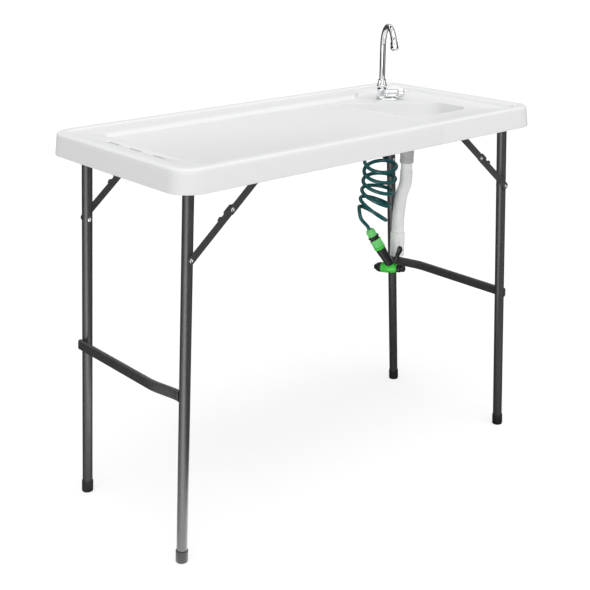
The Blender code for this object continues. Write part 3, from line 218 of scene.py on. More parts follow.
def hammerCoat():
    # hammered powder coat: shallow cells with pale flecks between them
    look = coatLook
    made = Finish("hammerCoat", metal=look["metal"], ior=1.7)
    cells = made.cells(look["cells"], "SMOOTH_F1")
    fine = made.noise(look["grain"])
    pale = made.steps(cells + fine * 0.35, 0.52, 0.86)
    dark = made.steps(fine, 0.62, 0.38)
    colour = made.blend(pale, look["colour"], look["fleck"])
    made.set("colour", made.blend(dark * 0.45, colour, look["dark"]))
    made.set("rough", look["rough"] + pale * 0.10)
    made.set("normal", made.bump(cells + fine * 0.3, look["depth"], 0.5))
    return made.material


def brightMetal(name, colour, rough, brush=0.02):
    # polished metal with a trace of haze
    made = Finish(name, metal=1.0, ior=1.5)
    haze = made.noise(85.0, 3.0)
    made.set("rough", rough + made.steps(haze, 0.45, 0.8) * brush)
    darker = tuple(c * 0.93 for c in colour)
    made.set("colour", made.blend(made.steps(haze, 0.4, 0.8) * 0.3, colour, darker))
    made.set("normal", made.bump(made.noise(400.0), 0.00002, 0.25))
    return made.material


gripLook = {"colour": (0.012, 0.012, 0.014), "dot": (0.30, 0.31, 0.31), "dots": 330.0, "grain": 1200.0,
            "rough": 0.38, "depth": 0.0006}


def gripRubber():
    # black handle with small pale dimples
    look = gripLook
    made = Finish("gripPlastic", ior=1.5)
    dots = made.cells(look["dots"])
    made.set("colour", made.blend(made.steps(dots, 0.17, 0.10) * 0.55, look["colour"], look["dot"]))
    made.set("rough", look["rough"] + made.noise(look["grain"]) * 0.12)
    made.set("normal", made.bump(dots, look["depth"], 0.45))
    return made.material


tealLook = {"colour": (0.003, 0.105, 0.108), "streak": (0.002, 0.070, 0.075), "rough": 0.15, "depth": 0.00012}


def tealHose():
    # clear-skinned hose: darker streaks and a soft sheen
    look = tealLook
    made = Finish("tealHose", ior=1.46)
    streak = made.steps(made.noise(55.0, 3.0), 0.3, 0.75)
    made.set("colour", made.blend(streak, look["colour"], look["streak"]))
    made.set("rough", look["rough"] + made.noise(700.0) * 0.08)
    made.set("normal", made.bump(made.noise(260.0), look["depth"], 0.5))
    return made.material


# Shapes of the tabletop, repeated from the frame's construction
top = {"length": 1.140, "width": 0.550, "height": 0.940, "skirt": 0.0525, "corner": 0.060, "draft": 0.0065,
       "edgeRound": 0.007, "rim": 0.018, "shelfDrop": 0.003, "workDrop": 0.011, "panel": 0.0165,
       "skirtWall": 0.025, "slope": 0.007, "backSlope": 0.0215, "leftShelf": 0.045, "backShelf": 0.0675,
       "sinkBack": 0.0345, "sinkLeft": 0.200, "sinkTurn": 0.372, "sinkCorner": (0.300, 0.028),
       "workCorner": 0.030, "footRound": 0.003, "rimSlope": 0.007}
rimEnd = top["draft"] + top["edgeRound"] + top["rim"] - 0.004
workLevel = top["height"] - top["workDrop"]
ceiling = workLevel - top["panel"]
tapPlan = {"x": 0.365, "y": 0.098, "hole": 0.011, "turn": math.radians(-36.9),
           "spoutTurn": math.radians(239.4)}

materials = {
    "table": tablePlastic(workLevel),
    "whiteHose": plainPlastic("whiteHosePlastic", (0.92, 0.92, 0.92), 0.42, 700.0, 0.00012, 0.05),
    "grey": plainPlastic("greyPlastic", (0.50, 0.50, 0.51), 0.46),
    "coat": hammerCoat(),
    "chrome": brightMetal("chrome", (0.86, 0.87, 0.88), 0.045),
    "steel": brightMetal("rivetSteel", (0.86, 0.86, 0.86), 0.22),
    "brass": brightMetal("brass", (0.62, 0.46, 0.20), 0.24),
    "black": plainPlastic("blackPlastic", (0.013, 0.013, 0.015), 0.34, 1100.0, 0.00012, 0.3),
    "cap": plainPlastic("capPlastic", (0.016, 0.016, 0.017), 0.48, 800.0, 0.0002, 0.3),
    "grip": gripRubber(),
    "green": plainPlastic("greenPlastic", (0.050, 0.660, 0.045), 0.30, 900.0, 0.00008, 0.10, 0.2),
    "lightGreen": plainPlastic("lightGreenPlastic", (0.190, 0.760, 0.200), 0.32, 900.0, 0.00008, 0.10, 0.1),
    "teal": tealHose(),
}
print("finishes made")


# Surfaces: rings of points joined into a skin, worked out as whole arrays
gap = 0.0003  # left between two pieces that touch on the real object
mergeReach = 0.000004


def unit(v):
    # the same direction at length one
    return np.asarray(v, float) / np.linalg.norm(v)


def axisFrame(along, side=(0.0, 1.0, 0.0)):
    # three unit columns: across, third, along
    along = unit(along)
    guess = unit(side)
    if abs(guess @ along) > 0.95:
        guess = up if abs(along[2]) < 0.9 else np.array((1.0, 0.0, 0.0))
    across = unit(guess - along * (guess @ along))
    return np.stack([across, np.cross(along, across), along], axis=1)


def softCorners(corners, closed, steps=4):
    # a profile of (radius, height, round): each corner becomes a short curve tangent to both sides
    line = []
    count = len(corners)
    for i in range(count):
        here = np.array(corners[i][:2], float)
        size = corners[i][2] if len(corners[i]) > 2 else 0.0
        if size <= 0.0 or (not closed and i in (0, count - 1)):
            line.append(here)
            continue
        back = np.array(corners[i - 1][:2], float) - here
        ahead = np.array(corners[(i + 1) % count][:2], float) - here
        reach = min(size, 0.49 * np.linalg.norm(back), 0.49 * np.linalg.norm(ahead))
        first = here + unit(back) * reach
        last = here + unit(ahead) * reach
        for t in np.linspace(0.0, 1.0, steps + 1):
            line.append(first * (1 - t) ** 2 + here * 2 * t * (1 - t) + last * t * t)
    return np.array(line)


def skinFaces(rows, columns, closeRows=False):
    # four-cornered faces between neighbouring rows of points, each row closed round
    i, j = np.meshgrid(np.arange(rows if closeRows else rows - 1), np.arange(columns), indexing="ij")
    a = i * columns + j
    b = i * columns + (j + 1) % columns
    c = ((i + 1) % rows) * columns + (j + 1) % columns
    d = ((i + 1) % rows) * columns + j
    return np.stack([a, b, c, d], axis=-1).reshape(-1, 4).tolist()


def linkedObject(name, data):
    # an object in the scene, at the origin
    made = bpy.data.objects.new(name, data)
    bpy.context.scene.collection.objects.link(made)
    return made


def joinedMesh(name, skins):
    # skins are (points, faces); they are merged where they meet and their faces turned outwards
    points = []
    faces = []
    for some, indices in skins:
        start = len(points)
        points.extend(np.asarray(some, float).reshape(-1, 3).tolist())
        faces.extend([[start + k for k in face] for face in indices])
    mesh = bpy.data.meshes.new(name)
    mesh.from_pydata(points, [], faces)
    work = bmesh.new()
    work.from_mesh(mesh)
    bmesh.ops.remove_doubles(work, verts=work.verts, dist=mergeReach)
    bmesh.ops.recalc_face_normals(work, faces=work.faces)
    work.to_mesh(mesh)
    work.free()
    return mesh


def smoothed(mesh, sharp):
    # smooth shading that breaks at edges sharper than an angle
    mesh.shade_smooth()
    mesh.set_sharp_from_angle(angle=math.radians(sharp))


def roundEdges(made, width, sharp=40.0):
    # a small bevel on the edges that are sharper than an angle
    rounding = made.modifiers.new("edges", "BEVEL")
    rounding.width = width
    rounding.segments = 2
    rounding.limit_method = "ANGLE"
    rounding.angle_limit = math.radians(sharp)


def piece(name, node, finish, skins, sharp=40.0, body=None, slot=None, bevel=0.0):
    # one finished object: it rides on a body, and stands for a node if one is given
    mesh = joinedMesh(name, skins)
    smoothed(mesh, sharp)
    mesh.materials.append(materials[finish])
    made = linkedObject(name, mesh)
    if bevel:
        roundEdges(made, bevel)
    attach(made, body or bodyOfNode[node])
    if node:
        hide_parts(node)
    slot or slotOfNode[node]
    return made


def cutAway(target, skins, operation="DIFFERENCE"):
    # a boolean that is applied at once, so that no helper object stays in the scene
    helper = linkedObject("helper", joinedMesh("helper", skins))
    modifier = target.modifiers.new("cut", "BOOLEAN")
    modifier.operation = operation
    modifier.solver = "EXACT"
    modifier.object = helper
    bpy.context.view_layer.update()
    ready = bpy.data.meshes.new_from_object(target.evaluated_get(bpy.context.evaluated_depsgraph_get()))
    target.modifiers.clear()
    material = target.data.materials[0]
    target.data = ready
    ready.materials.clear()
    ready.materials.append(material)
    smoothed(ready, 35.0)
    bpy.data.objects.remove(helper)


def ringSkin(rings, closed=False):
    # rings of equal count as one skin; an open one gets flat ends
    rings = np.asarray(rings, float)
    rows, columns = rings.shape[:2]
    faces = skinFaces(rows, columns, closed)
    if not closed:
        faces.append(list(range(columns)))
        faces.append([(rows - 1) * columns + k for k in reversed(range(columns))])
    return rings.reshape(-1, 3), faces


def turnedSkin(corners, base, along, closed=False, count=56, side=(0.0, 1.0, 0.0), lobes=None, steps=4):
    # a profile turned round an axis; lobes are (count, depth, from height, to height)
    line = softCorners(corners, closed, steps)
    angle = np.linspace(0.0, math.tau, count, endpoint=False)
    radius = np.repeat(line[:, :1], count, axis=1)
    height = np.repeat(line[:, 1:], count, axis=1)
    if lobes:
        number, depth, low, high = lobes
        inside = (line[:, 1] > low) & (line[:, 1] < high) & (line[:, 0] > 0.6 * line[:, 0].max())
        radius = radius - inside[:, None] * depth * (0.5 - 0.5 * np.cos(number * angle))[None, :]
    turn = axisFrame(along, side)
    local = np.stack([radius * np.cos(angle), radius * np.sin(angle), height], axis=-1)
    return ringSkin(local @ turn.T + np.asarray(base, float), closed)


def throughPoints(points, perSpan):
    # a smooth curve through the route's own points
    p = np.asarray(points, float)
    p = np.vstack([2 * p[0] - p[1], p, 2 * p[-1] - p[-2]])
    t = np.linspace(0.0, 1.0, perSpan, endpoint=False)[:, None]
    spans = []
    for i in range(1, len(p) - 2):
        a, b, c, d = p[i - 1:i + 3]
        spans.append(0.5 * (2 * b + (c - a) * t + (2 * a - 5 * b + 4 * c - d) * t ** 2
                            + (3 * b - a - 3 * c + d) * t ** 3))
    return np.vstack(spans + [p[-2:-1]])


def evenly(line, count):
    # the same line with its points an equal way apart
    walked = np.concatenate([[0.0], np.cumsum(np.linalg.norm(np.diff(line, axis=0), axis=1))])
    marks = np.linspace(0.0, walked[-1], count)
    return np.stack([np.interp(marks, walked, line[:, k]) for k in range(3)], axis=1), walked[-1]


def runOf(line):
    # the line's own direction at each of its points
    run = np.gradient(line, axis=0)
    return run / np.linalg.norm(run, axis=1)[:, None]


def carried(line, run, side, section):
    # rings: a section of (across, third) places, set square to the line's run at each of its points
    across = side - run * (run @ side)[:, None]
    across /= np.linalg.norm(across, axis=1)[:, None]
    third = np.cross(run, across)
    return line[:, None, :] + section[..., :1] * across[:, None, :] + section[..., 1:] * third[:, None, :]


def rod(radius, low, high, base, along, count, soft=0.0):
    # a plain round bar between two heights over its base
    corners = [(0.0, low), (radius, low, soft), (radius, high, soft), (0.0, high)]
    return turnedSkin(corners, base, along, count=count)


def circle(radius, count):
    # points spaced evenly round a circle
    angle = np.linspace(0.0, math.tau, count, endpoint=False)
    return np.stack([np.cos(angle), np.sin(angle)], axis=1) * radius


def roundedOutline(corners, radii, offset=0.0, steps=10):
    # a convex outline, counter-clockwise, moved outward by offset, with rounded corners
    corners = np.asarray(corners, float)
    outline = []
    for i in range(len(corners)):
        into = unit(corners[i] - corners[i - 1])
        out = unit(corners[(i + 1) % len(corners)] - corners[i])
        normalIn = np.array((into[1], -into[0]))
        normalOut = np.array((out[1], -out[0]))
        half = unit(normalIn + normalOut)
        radius = max(radii[i] + offset, 0.0015)
        centre = corners[i] + half / (half @ normalIn) * (offset - radius)
        first = math.atan2(normalIn[1], normalIn[0])
        last = math.atan2(normalOut[1], normalOut[0])
        last += math.tau if last < first else 0.0
        angle = np.linspace(first, last, steps + 1)
        outline.append(centre + radius * np.stack([np.cos(angle), np.sin(angle)], axis=1))
    return np.vstack(outline)


def boxCorners(halfX, halfY):
    # a rectangle's corners, counter-clockwise
    return [(-halfX, -halfY), (halfX, -halfY), (halfX, halfY), (-halfX, halfY)]


# The free hose comes first, at the route that the construction gives it
hosePlan = {"radius": 0.0050, "coilRadius": 0.0432, "turns": 5, "drop": 0.157, "perTurn": 24, "extra": 2,
            "top": (0.2884, 0.0204, 0.7856), "shift": (-0.0285, 0.0033, 0.0), "start": 154.0,
            "lean": (-2.1, 42.4), "tip": (22.5, -25.7), "exit": (0.365, 0.098, 0.8427), "length": 1.594,
            "leadSteps": [(0.0, 0.0, 0.0), (0.0, 0.0, -0.012), (-0.010, -0.004, -0.034)],
            "tailSteps": [(-0.0194, 0.0197, 0.0534), (-0.0211, 0.0165, 0.0471), (-0.0212, 0.0140, 0.0386),
                          (-0.0178, 0.0104, 0.0266)]}
viewRight = np.array((0.7540, -0.6568, 0.0))
viewAway = np.array((0.6568, 0.7540, 0.0))
gunPlan = {"origin": np.array((0.2928, -0.0296, 0.4890)), "lean": math.radians(30.3),
           "headTurn": math.radians(28.0), "headTilt": math.radians(-24.0)}
gunUp = viewRight * -math.sin(gunPlan["lean"]) + up * math.cos(gunPlan["lean"])
gunFlat = viewRight * math.cos(gunPlan["lean"]) + up * math.sin(gunPlan["lean"])
gunBack = gunFlat * math.cos(gunPlan["headTurn"]) - viewAway * math.sin(gunPlan["headTurn"])
gunAcross = np.cross(gunUp, gunBack)
gunHead = gunBack * math.cos(gunPlan["headTilt"]) + gunUp * math.sin(gunPlan["headTilt"])
hoseEnd = gunPlan["origin"] + gunUp * 0.1298


def coilLine(perTurn):
    # turns whose axis drifts sideways and whose planes lean more towards the lower end
    plan = hosePlan
    i = np.arange(plan["turns"] * perTurn + plan["extra"] * perTurn // plan["perTurn"] + 1)
    t = (i / i[-1])[:, None]
    centre = np.array(plan["top"]) + np.array(plan["shift"]) * t ** 2.2 - up * plan["drop"] * t
    lean = np.radians(plan["lean"][0] + plan["lean"][1] * t ** 1.65)
    tip = np.radians(plan["tip"][0] + plan["tip"][1] * t)
    right = viewRight * np.cos(lean) - up * np.sin(lean)
    away = viewAway * np.cos(tip) + up * np.sin(tip)
    angle = (math.radians(plan["start"]) + math.tau * i / perTurn)[:, None]
    return centre + (right * np.cos(angle) + away * np.sin(angle)) * plan["coilRadius"]


def hoseLine():
    # down from its coupling, over into the coil's first turn, round the coil and down to the connector
    plan = hosePlan
    rough = coilLine(plan["perTurn"])
    firstRun = unit(rough[0] - rough[1])
    lastRun = unit(rough[-1] - rough[-2])
    lead = [np.array(plan["exit"]) + step for step in plan["leadSteps"]]
    lead += [rough[0] + firstRun * 0.045 + (0.0, 0.0, 0.002), rough[0] + firstRun * (0.009 + gap),
             rough[0] + firstRun * gap]
    tail = [rough[-1] + lastRun * reach for reach in (0.0008, 0.0055, 0.009 + gap)]
    tail += [hoseEnd + step for step in plan["tailSteps"]] + [hoseEnd + gunUp * 0.010, hoseEnd]
    leadLine = evenly(throughPoints(lead, 24), 34)[0]
    tailLine = evenly(throughPoints(tail, 24), 40)[0]
    return np.vstack([leadLine[:-1], coilLine(2 * plan["perTurn"]), tailLine[1:]])


def addHose():
    # a round-bevelled curve along the hose's line
    line = hoseLine()
    curve = bpy.data.curves.new("coilHose", "CURVE")
    curve.dimensions = "3D"
    curve.bevel_depth = hosePlan["radius"]
    curve.bevel_resolution = 6
    curve.use_fill_caps = True
    spline = curve.splines.new("POLY")
    spline.points.add(len(line) - 1)
    spline.points.foreach_set("co", np.hstack([line, np.ones((len(line), 1))]).ravel())
    spline.use_smooth = True
    curve.materials.append(materials["teal"])
    hose = linkedObject("coilHose", curve)
    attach(hose, "table")
    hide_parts("hose_lead", "hose_coil", "hose_tail")
    print("hose length", round(float(np.linalg.norm(np.diff(line, axis=0), axis=1).sum()), 4))
    return hose


hose = addHose()

# Spray gun and hose connector
connectorPlan = {"base": 0.065 + gap, "adapterRadius": 0.0155, "adapter": 0.0085, "spigot": 0.0075,
                 "sleeveRadius": 0.0160, "sleeve": 0.022, "travel": 0.0045, "coreRadius": 0.0125,
                 "ringRadius": 0.0155, "ring": 0.0060, "nutRadius": 0.0125, "nut": 0.022, "throat": 0.0022}


def addConnector():
    # four turned pieces up the gun's handle: inlet ring, release sleeve, body and hose nut
    plan = connectorPlan
    base = gunPlan["origin"] + gunUp * plan["base"]
    ledge = plan["adapter"]
    spigot = plan["spigot"]
    spigotTop = ledge + plan["sleeve"] * 0.55
    r = plan["adapterRadius"]
    adapter = [(0.0, 0.0), (r - 0.001, 0.0, 0.0006), (r, 0.001, 0.0008), (r, ledge - 0.001, 0.0008),
               (r - 0.001, ledge, 0.0006), (spigot, ledge, 0.0005), (spigot, spigotTop, 0.001),
               (0.0, spigotTop)]
    piece("gunInletRing", "gun_adapter", "green",
          [turnedSkin(adapter, base, gunUp, lobes=(20, 0.0007, 0.0005, ledge - 0.0002), count=120)])
    low = ledge + gap
    high = low + plan["sleeve"]
    bore = plan["coreRadius"] + 0.0005
    r = plan["sleeveRadius"]
    sleeve = [(bore, low), (r - 0.0012, low, 0.001), (r, low + 0.003, 0.002),
              (r - 0.0008, low + 0.006, 0.001), (r - 0.0010, high - 0.008, 0.001), (r, high - 0.005, 0.002),
              (r - 0.0008, high, 0.0012), (bore, high)]
    piece("releaseSleeve", "release_sleeve", "lightGreen",
          [turnedSkin(sleeve, base, gunUp, True, 160, lobes=(28, 0.0008, low + 0.0058, high - 0.0075))])
    ringLow = high + plan["travel"] + gap
    ringTop = ringLow + plan["ring"]
    nipple = ringTop + plan["nut"] * 0.5
    coreLow = low + gap
    r = plan["coreRadius"]
    ring = plan["ringRadius"]
    throat = plan["throat"]
    body = [(spigot + gap, coreLow), (r, coreLow, 0.0006), (r, ringLow, 0.0004),
            (ring, ringLow + 0.0005, 0.0012), (ring, ringTop - 0.0005, 0.0012), (r - 0.003, ringTop, 0.0003),
            (r - 0.003, nipple, 0.0005), (throat, nipple), (throat, spigotTop + gap),
            (spigot + gap, spigotTop + gap)]
    core = piece("connectorBody", "connector_body", "black",
                 [turnedSkin(body, base, gunUp, True, 120, lobes=(16, 0.0008, ringLow + 0.0004, ringTop))])
    low = ringTop + gap
    high = low + plan["nut"]
    bore = r - 0.003 + gap
    r = plan["nutRadius"]
    nut = [(bore, low), (r, low, 0.0006), (r + 0.0004, low + plan["nut"] * 0.7, 0.003),
           (r - 0.0035, high - 0.0012, 0.0015), (0.0048, high, 0.0004), (throat, high),
           (throat, nipple + gap), (bore, nipple + gap)]
    lobes = (18, 0.0010, low + 0.0006, low + plan["nut"] * 0.72)
    cap = piece("hoseNut", "connector_nut", "lightGreen",
                [turnedSkin(nut, base, gunUp, True, 160, lobes=lobes)])
    return [cap, core]


onHose = addConnector()
print("hose and connector made")

# Tabletop: one closed blow-moulded shell
basinPlan = {"corners": [(0.238, -0.145), (0.452, -0.145), (0.452, -0.0246), (0.226, 0.1375)],
             "radii": [0.050, 0.045, 0.050, 0.016], "depth": 0.077, "wall": 0.0035, "taper": 0.024,
             "lip": 0.0045}
drainPlan = {"x": 0.338, "y": -0.0294, "flangeRadius": 0.034, "flange": 0.0025, "tailRadius": 0.0135,
             "tailBore": 0.0110, "tail": 0.0677, "nutRadius": 0.0187, "nut": 0.0353, "neckRadius": 0.01525,
             "neck": 0.0233, "hoseRadius": 0.0170, "bore": 0.0125, "ribPitch": 0.0032, "ribDepth": 0.0010,
             "cuffRadius": 0.0195, "cuff": 0.0677, "locknutRadius": 0.024, "locknut": 0.008,
             "steps": [(0.0, 0.0, 0.0), (0.0, 0.0, -0.037), (-0.0010, 0.0008, -0.062),
                       (-0.0072, 0.0065, -0.087), (-0.0112, 0.0102, -0.124), (-0.0133, 0.0118, -0.158),
                       (-0.0133, 0.0118, -0.1770), (-0.0133, 0.0118, -0.1972)]}
slotPlan = {"x": -0.515, "ys": (-0.113, -0.026, 0.061), "length": 0.048, "width": 0.006}
floorLevel = workLevel - basinPlan["depth"]
seatLevel = floorLevel - drainPlan["flange"] + 0.001


def insideDistance(points, corners, radius):
    # how far each point lies inside a convex outline with rounded corners
    corners = np.asarray(corners, float)
    into = corners - np.roll(corners, 1, axis=0)
    out = np.roll(corners, -1, axis=0) - corners
    normalIn = np.stack([into[:, 1], -into[:, 0]], axis=1) / np.linalg.norm(into, axis=1)[:, None]
    normalOut = np.stack([out[:, 1], -out[:, 0]], axis=1) / np.linalg.norm(out, axis=1)[:, None]
    half = normalIn + normalOut
    half /= np.linalg.norm(half, axis=1)[:, None]
    core = corners - half * (radius / (half * normalIn).sum(1))[:, None]
    edge = np.roll(core, -1, axis=0) - core
    rel = points[:, None, :] - core[None]
    share = np.clip((rel * edge).sum(2) / (edge * edge).sum(1), 0.0, 1.0)
    near = np.linalg.norm(rel - share[..., None] * edge, axis=2).min(1)
    side = (rel * normalOut[None]).sum(2).max(1)
    return radius - np.where(side < 0.0, side, near)


def eased(t, start=0.32, end=0.32):
    # a straight ramp from 0 to 1 with soft ends
    t = np.clip(t, 0.0, 1.0)
    scale = 1.0 / (1.0 - (start + end) / 2)
    return np.where(t < start, scale * t * t / (2 * start),
                    np.where(t > 1 - end, 1 - scale * (1 - t) ** 2 / (2 * end), scale * (t - start / 2)))


def withinLoop(points, loop):
    # true where a point is inside a convex loop
    edge = np.roll(loop, -1, axis=0) - loop
    rel = points[:, None, :] - loop[None]
    return (edge[None, :, 0] * rel[..., 1] - edge[None, :, 1] * rel[..., 0] > -1e-9).all(1)


def sheetBetween(outer, holes, height, lines=()):
    # triangles between an outer loop and its holes; lines are further chains of points in the sheet
    coords = []
    edges = []
    chains = [(loop, 0) for loop in (outer, *holes)] + [(line, 1) for line in lines]
    for chain, missing in chains:
        start = len(coords)
        coords.extend(Vector(p) for p in chain)
        edges.extend((start + k, start + (k + 1) % len(chain)) for k in range(len(chain) - missing))
    made = geometry.delaunay_2d_cdt(coords, edges, [], 0, 1e-7)
    flat = np.array([tuple(v) for v in made[0]])
    faces = np.array([tuple(f) for f in made[2]])
    middle = flat[faces].mean(1)
    keep = withinLoop(middle, outer)
    for hole in holes:
        keep &= ~withinLoop(middle, hole)
    return np.column_stack([flat, height(flat)]), faces[keep].tolist()


def outlineSkin(rows, corners, radii, steps=10):
    # rows of (outward offset, height) round an outline, joined as a band without ends
    rings = []
    for offset, height in rows:
        ring = roundedOutline(corners, radii, offset, steps)
        rings.append(np.column_stack([ring, np.full(len(ring), height)]))
    rings = np.array(rings)
    return rings.reshape(-1, 3), skinFaces(len(rings), rings.shape[1])


def lowRegions():
    # the work area and the sink area, as outlines at the top of their slopes
    halfX = top["length"] / 2 - rimEnd - 0.008
    halfY = top["width"] / 2 - rimEnd - 0.008
    left = -halfX + top["leftShelf"]
    back = halfY - top["backShelf"]
    sinkBack = halfY - top["sinkBack"]
    x, beforeBack = top["sinkCorner"]
    work = [(left, -halfY), (halfX, -halfY), (halfX, back), (left, back)]
    sink = [(top["sinkLeft"], -halfY), (halfX, -halfY), (halfX, sinkBack), (top["sinkTurn"], sinkBack),
            (x, back - beforeBack)]
    return work, sink


def slopeWidth(points):
    # wide along the back of the work area and narrow along its other sides
    corner = lowRegions()[0][3] + np.array((1.0, -1.0)) * top["workCorner"]
    beside, behind = (points[:, :2] - corner).T
    turned = np.arctan2(behind, -beside) / (math.pi / 2)
    share = np.where(behind <= 0, 0.0, np.where(beside >= 0, 1.0, turned))
    return top["slope"] + (top["backSlope"] - top["slope"]) * share


def topHeight(points):
    # the upper face: rim, shelf and the low area, by distance from their outlines
    outer = boxCorners(top["length"] / 2, top["width"] / 2)
    work, sink = lowRegions()
    shelf = eased((insideDistance(points, outer, top["corner"]) - rimEnd) / top["rimSlope"])
    low = np.maximum(insideDistance(points, work, top["workCorner"]) / slopeWidth(points),
                     insideDistance(points, sink, top["workCorner"]) / top["slope"])
    rise = top["workDrop"] - top["shelfDrop"]
    return top["height"] - top["shelfDrop"] * shelf - rise * eased(low, 0.30, 0.12)


def keptRuns(loop, keep):
    # the stretches of a closed loop where keep is true
    runs = []
    run = []
    for k in list(range(len(loop))) + [0]:
        if keep[k]:
            run.append(loop[k])
        elif run:
            runs.append(np.array(run))
            run = []
    if run:
        runs.append(np.array(run))
    return [r for r in runs if len(r) > 1]


def topLines():
    # chains of points along the slopes, at a few marks down each, so that the sheet's edges follow them
    outer = boxCorners(top["length"] / 2, top["width"] / 2)
    work, sink = lowRegions()
    marks = (0.0, 0.10, 0.22, 0.36, 0.52, 0.68, 0.82, 0.92, 1.0)
    lines = []
    for inset in [rimEnd + top["rimSlope"] * mark for mark in marks] + [0.019]:
        ring = roundedOutline(outer, [top["corner"]] * 4, -inset)
        lines.append(np.vstack([ring, ring[:1]]))
    start = roundedOutline(work, [top["workCorner"]] * 4, 0.0)
    inward = (roundedOutline(work, [top["workCorner"]] * 4, -0.001) - start) / 0.001
    for mark in marks:
        ring = start + inward * (slopeWidth(start) * mark)[:, None]
        lines.append(np.vstack([ring, ring[:1]]))
        ring = roundedOutline(sink, [top["workCorner"]] * 5, -top["slope"] * mark)
        ring = np.column_stack([np.vstack([ring, ring[:1]]), np.zeros(len(ring) + 1)])
        fine = evenly(ring, 520)[0][:, :2]
        keep = insideDistance(fine, work, top["workCorner"]) < top["backSlope"] + 0.002
        lines.extend(keptRuns(fine[:-1], keep[:-1]))
    return lines


def circleLoop(x, y, radius, count=40):
    # a circle round a place in plan
    return circle(radius, count) + (x, y)


def slotLoop(y, grow):
    # a knife slot's outline, nearly half-round at both ends
    halfX = slotPlan["width"] / 2
    corners = np.array(boxCorners(halfX, slotPlan["length"] / 2)) + (slotPlan["x"], y)
    return roundedOutline(corners, [halfX * 0.9] * 4, grow, 5)


def wallBand(loops):
    # a band through loops of equal count, each with its height
    rings = np.array([np.column_stack([loop, np.full(len(loop), height)]) for loop, height in loops])
    return rings.reshape(-1, 3), skinFaces(len(rings), rings.shape[1])


def addTabletop():
    # skirt and rounded edge round the outline, upper and under sheets with holes, and walls through them
    corners = boxCorners(top["length"] / 2, top["width"] / 2)
    radii = [top["corner"]] * 4
    bottom = top["height"] - top["skirt"]
    wall = top["skirtWall"]
    foot = top["footRound"]
    edge = top["edgeRound"]
    section = [(-wall - 0.004, ceiling), (-wall, bottom, foot), (0.0, bottom, foot),
               (-top["draft"], top["height"] - edge)]
    rows = softCorners(section, False, 5)
    arc = np.linspace(0.0, math.pi / 2, 10)[1:]
    over = np.column_stack([-top["draft"] - edge * (1 - np.cos(arc)),
                            top["height"] - edge * (1 - np.sin(arc))])
    rows = np.vstack([rows, over])
    parts = [outlineSkin(rows, corners, radii)]
    upper = roundedOutline(corners, radii, rows[-1][0])
    under = roundedOutline(corners, radii, rows[0][0])
    basin = basinPlan
    shape = (basin["corners"], basin["radii"])
    mouth = roundedOutline(*shape, basin["lip"])
    outside = roundedOutline(*shape, basin["wall"])
    tapHole = circleLoop(tapPlan["x"], tapPlan["y"], tapPlan["hole"])
    slots = [slotLoop(y, 0.0008) for y in slotPlan["ys"]]
    straight = [slotLoop(y, 0.0) for y in slotPlan["ys"]]
    parts.append(sheetBetween(upper, [mouth, tapHole] + slots, topHeight, topLines()))
    parts.append(sheetBetween(under, [outside, tapHole] + straight, lambda p: np.full(len(p), ceiling)))
    shelf = top["height"] - top["shelfDrop"]
    for wide, narrow in zip(slots, straight):
        parts.append(wallBand([(wide, shelf), ((wide * 0.35 + narrow * 0.65), shelf - 0.0003),
                               (narrow, shelf - 0.0010), (narrow, ceiling)]))
    parts.append(wallBand([(tapHole, workLevel), (tapHole, ceiling)]))
    thick = basin["wall"]
    taper = basin["taper"]
    under = floorLevel - thick
    inner = softCorners([(basin["lip"], workLevel), (0.0005, workLevel, 0.004),
                         (-0.0035, floorLevel + 0.052, 0.02), (-0.6 * taper, floorLevel + 0.012, 0.012),
                         (-taper, floorLevel, 0.008), (-taper - 0.004, floorLevel)], False, 6)
    parts.append(outlineSkin(inner, *shape))
    outer = softCorners([(thick, ceiling), (thick - 0.6 * taper, floorLevel + 0.010, 0.008),
                         (thick - taper, under, 0.006), (thick - taper - 0.006, under)], False, 5)
    parts.append(outlineSkin(outer, *shape))
    x, y = drainPlan["x"], drainPlan["y"]
    well = circleLoop(x, y, drainPlan["flangeRadius"] + 0.0005, 64)
    hole = circleLoop(x, y, drainPlan["tailRadius"] + 0.0008, 64)
    for profile, hollow, height in ((inner, well, floorLevel), (outer, hole, under)):
        loop = roundedOutline(*shape, profile[-1][0])
        parts.append(sheetBetween(loop, [hollow], lambda p: np.full(len(p), height)))
    parts.append(wallBand([(well, floorLevel), (well, seatLevel), (hole, seatLevel), (hole, under)]))
    piece("tabletopShell", "tabletop", "table", parts, sharp=50.0)


addTabletop()
print("tabletop made")

# Drain: flange, locknut, ribbed hose with its nut and cuff, and the strainer
drainHead = seatLevel + gap - drainPlan["tail"] - 0.004


def drainLine():
    # the drain hose hangs from its nut and leans towards the viewer's left
    start = np.array((drainPlan["x"], drainPlan["y"], drainHead + 0.0034))
    return throughPoints([start + step for step in drainPlan["steps"]], 60)


def addDrain():
    # two turned pieces: a flange with its tail through the floor, and a fluted nut under it
    plan = drainPlan
    base = (plan["x"], plan["y"], seatLevel + gap)
    rim = plan["flange"]
    tail = plan["tailRadius"]
    bore = plan["tailBore"]
    wide = plan["flangeRadius"]
    flange = [(bore, -plan["tail"]), (tail, -plan["tail"], 0.0004), (tail, 0.0), (wide, 0.0, 0.0005),
              (wide - 0.0015, rim, 0.0012), (0.0245, rim, 0.001), (0.022, 0.0005, 0.001), (bore, 0.0003)]
    piece("drainFlange", "drain_flange", "chrome", [turnedSkin(flange, base, up, True, 72)])
    r = plan["locknutRadius"]
    low = -plan["locknut"]
    nut = [(tail + gap, low), (r, low, 0.0008), (r, 0.0, 0.0008), (tail + gap, 0.0)]
    under = (plan["x"], plan["y"], floorLevel - basinPlan["wall"] - gap)
    piece("drainLocknut", "drain_locknut", "table",
          [turnedSkin(nut, under, up, True, 96, lobes=(12, 0.0016, low + 0.0004, -0.0004))])


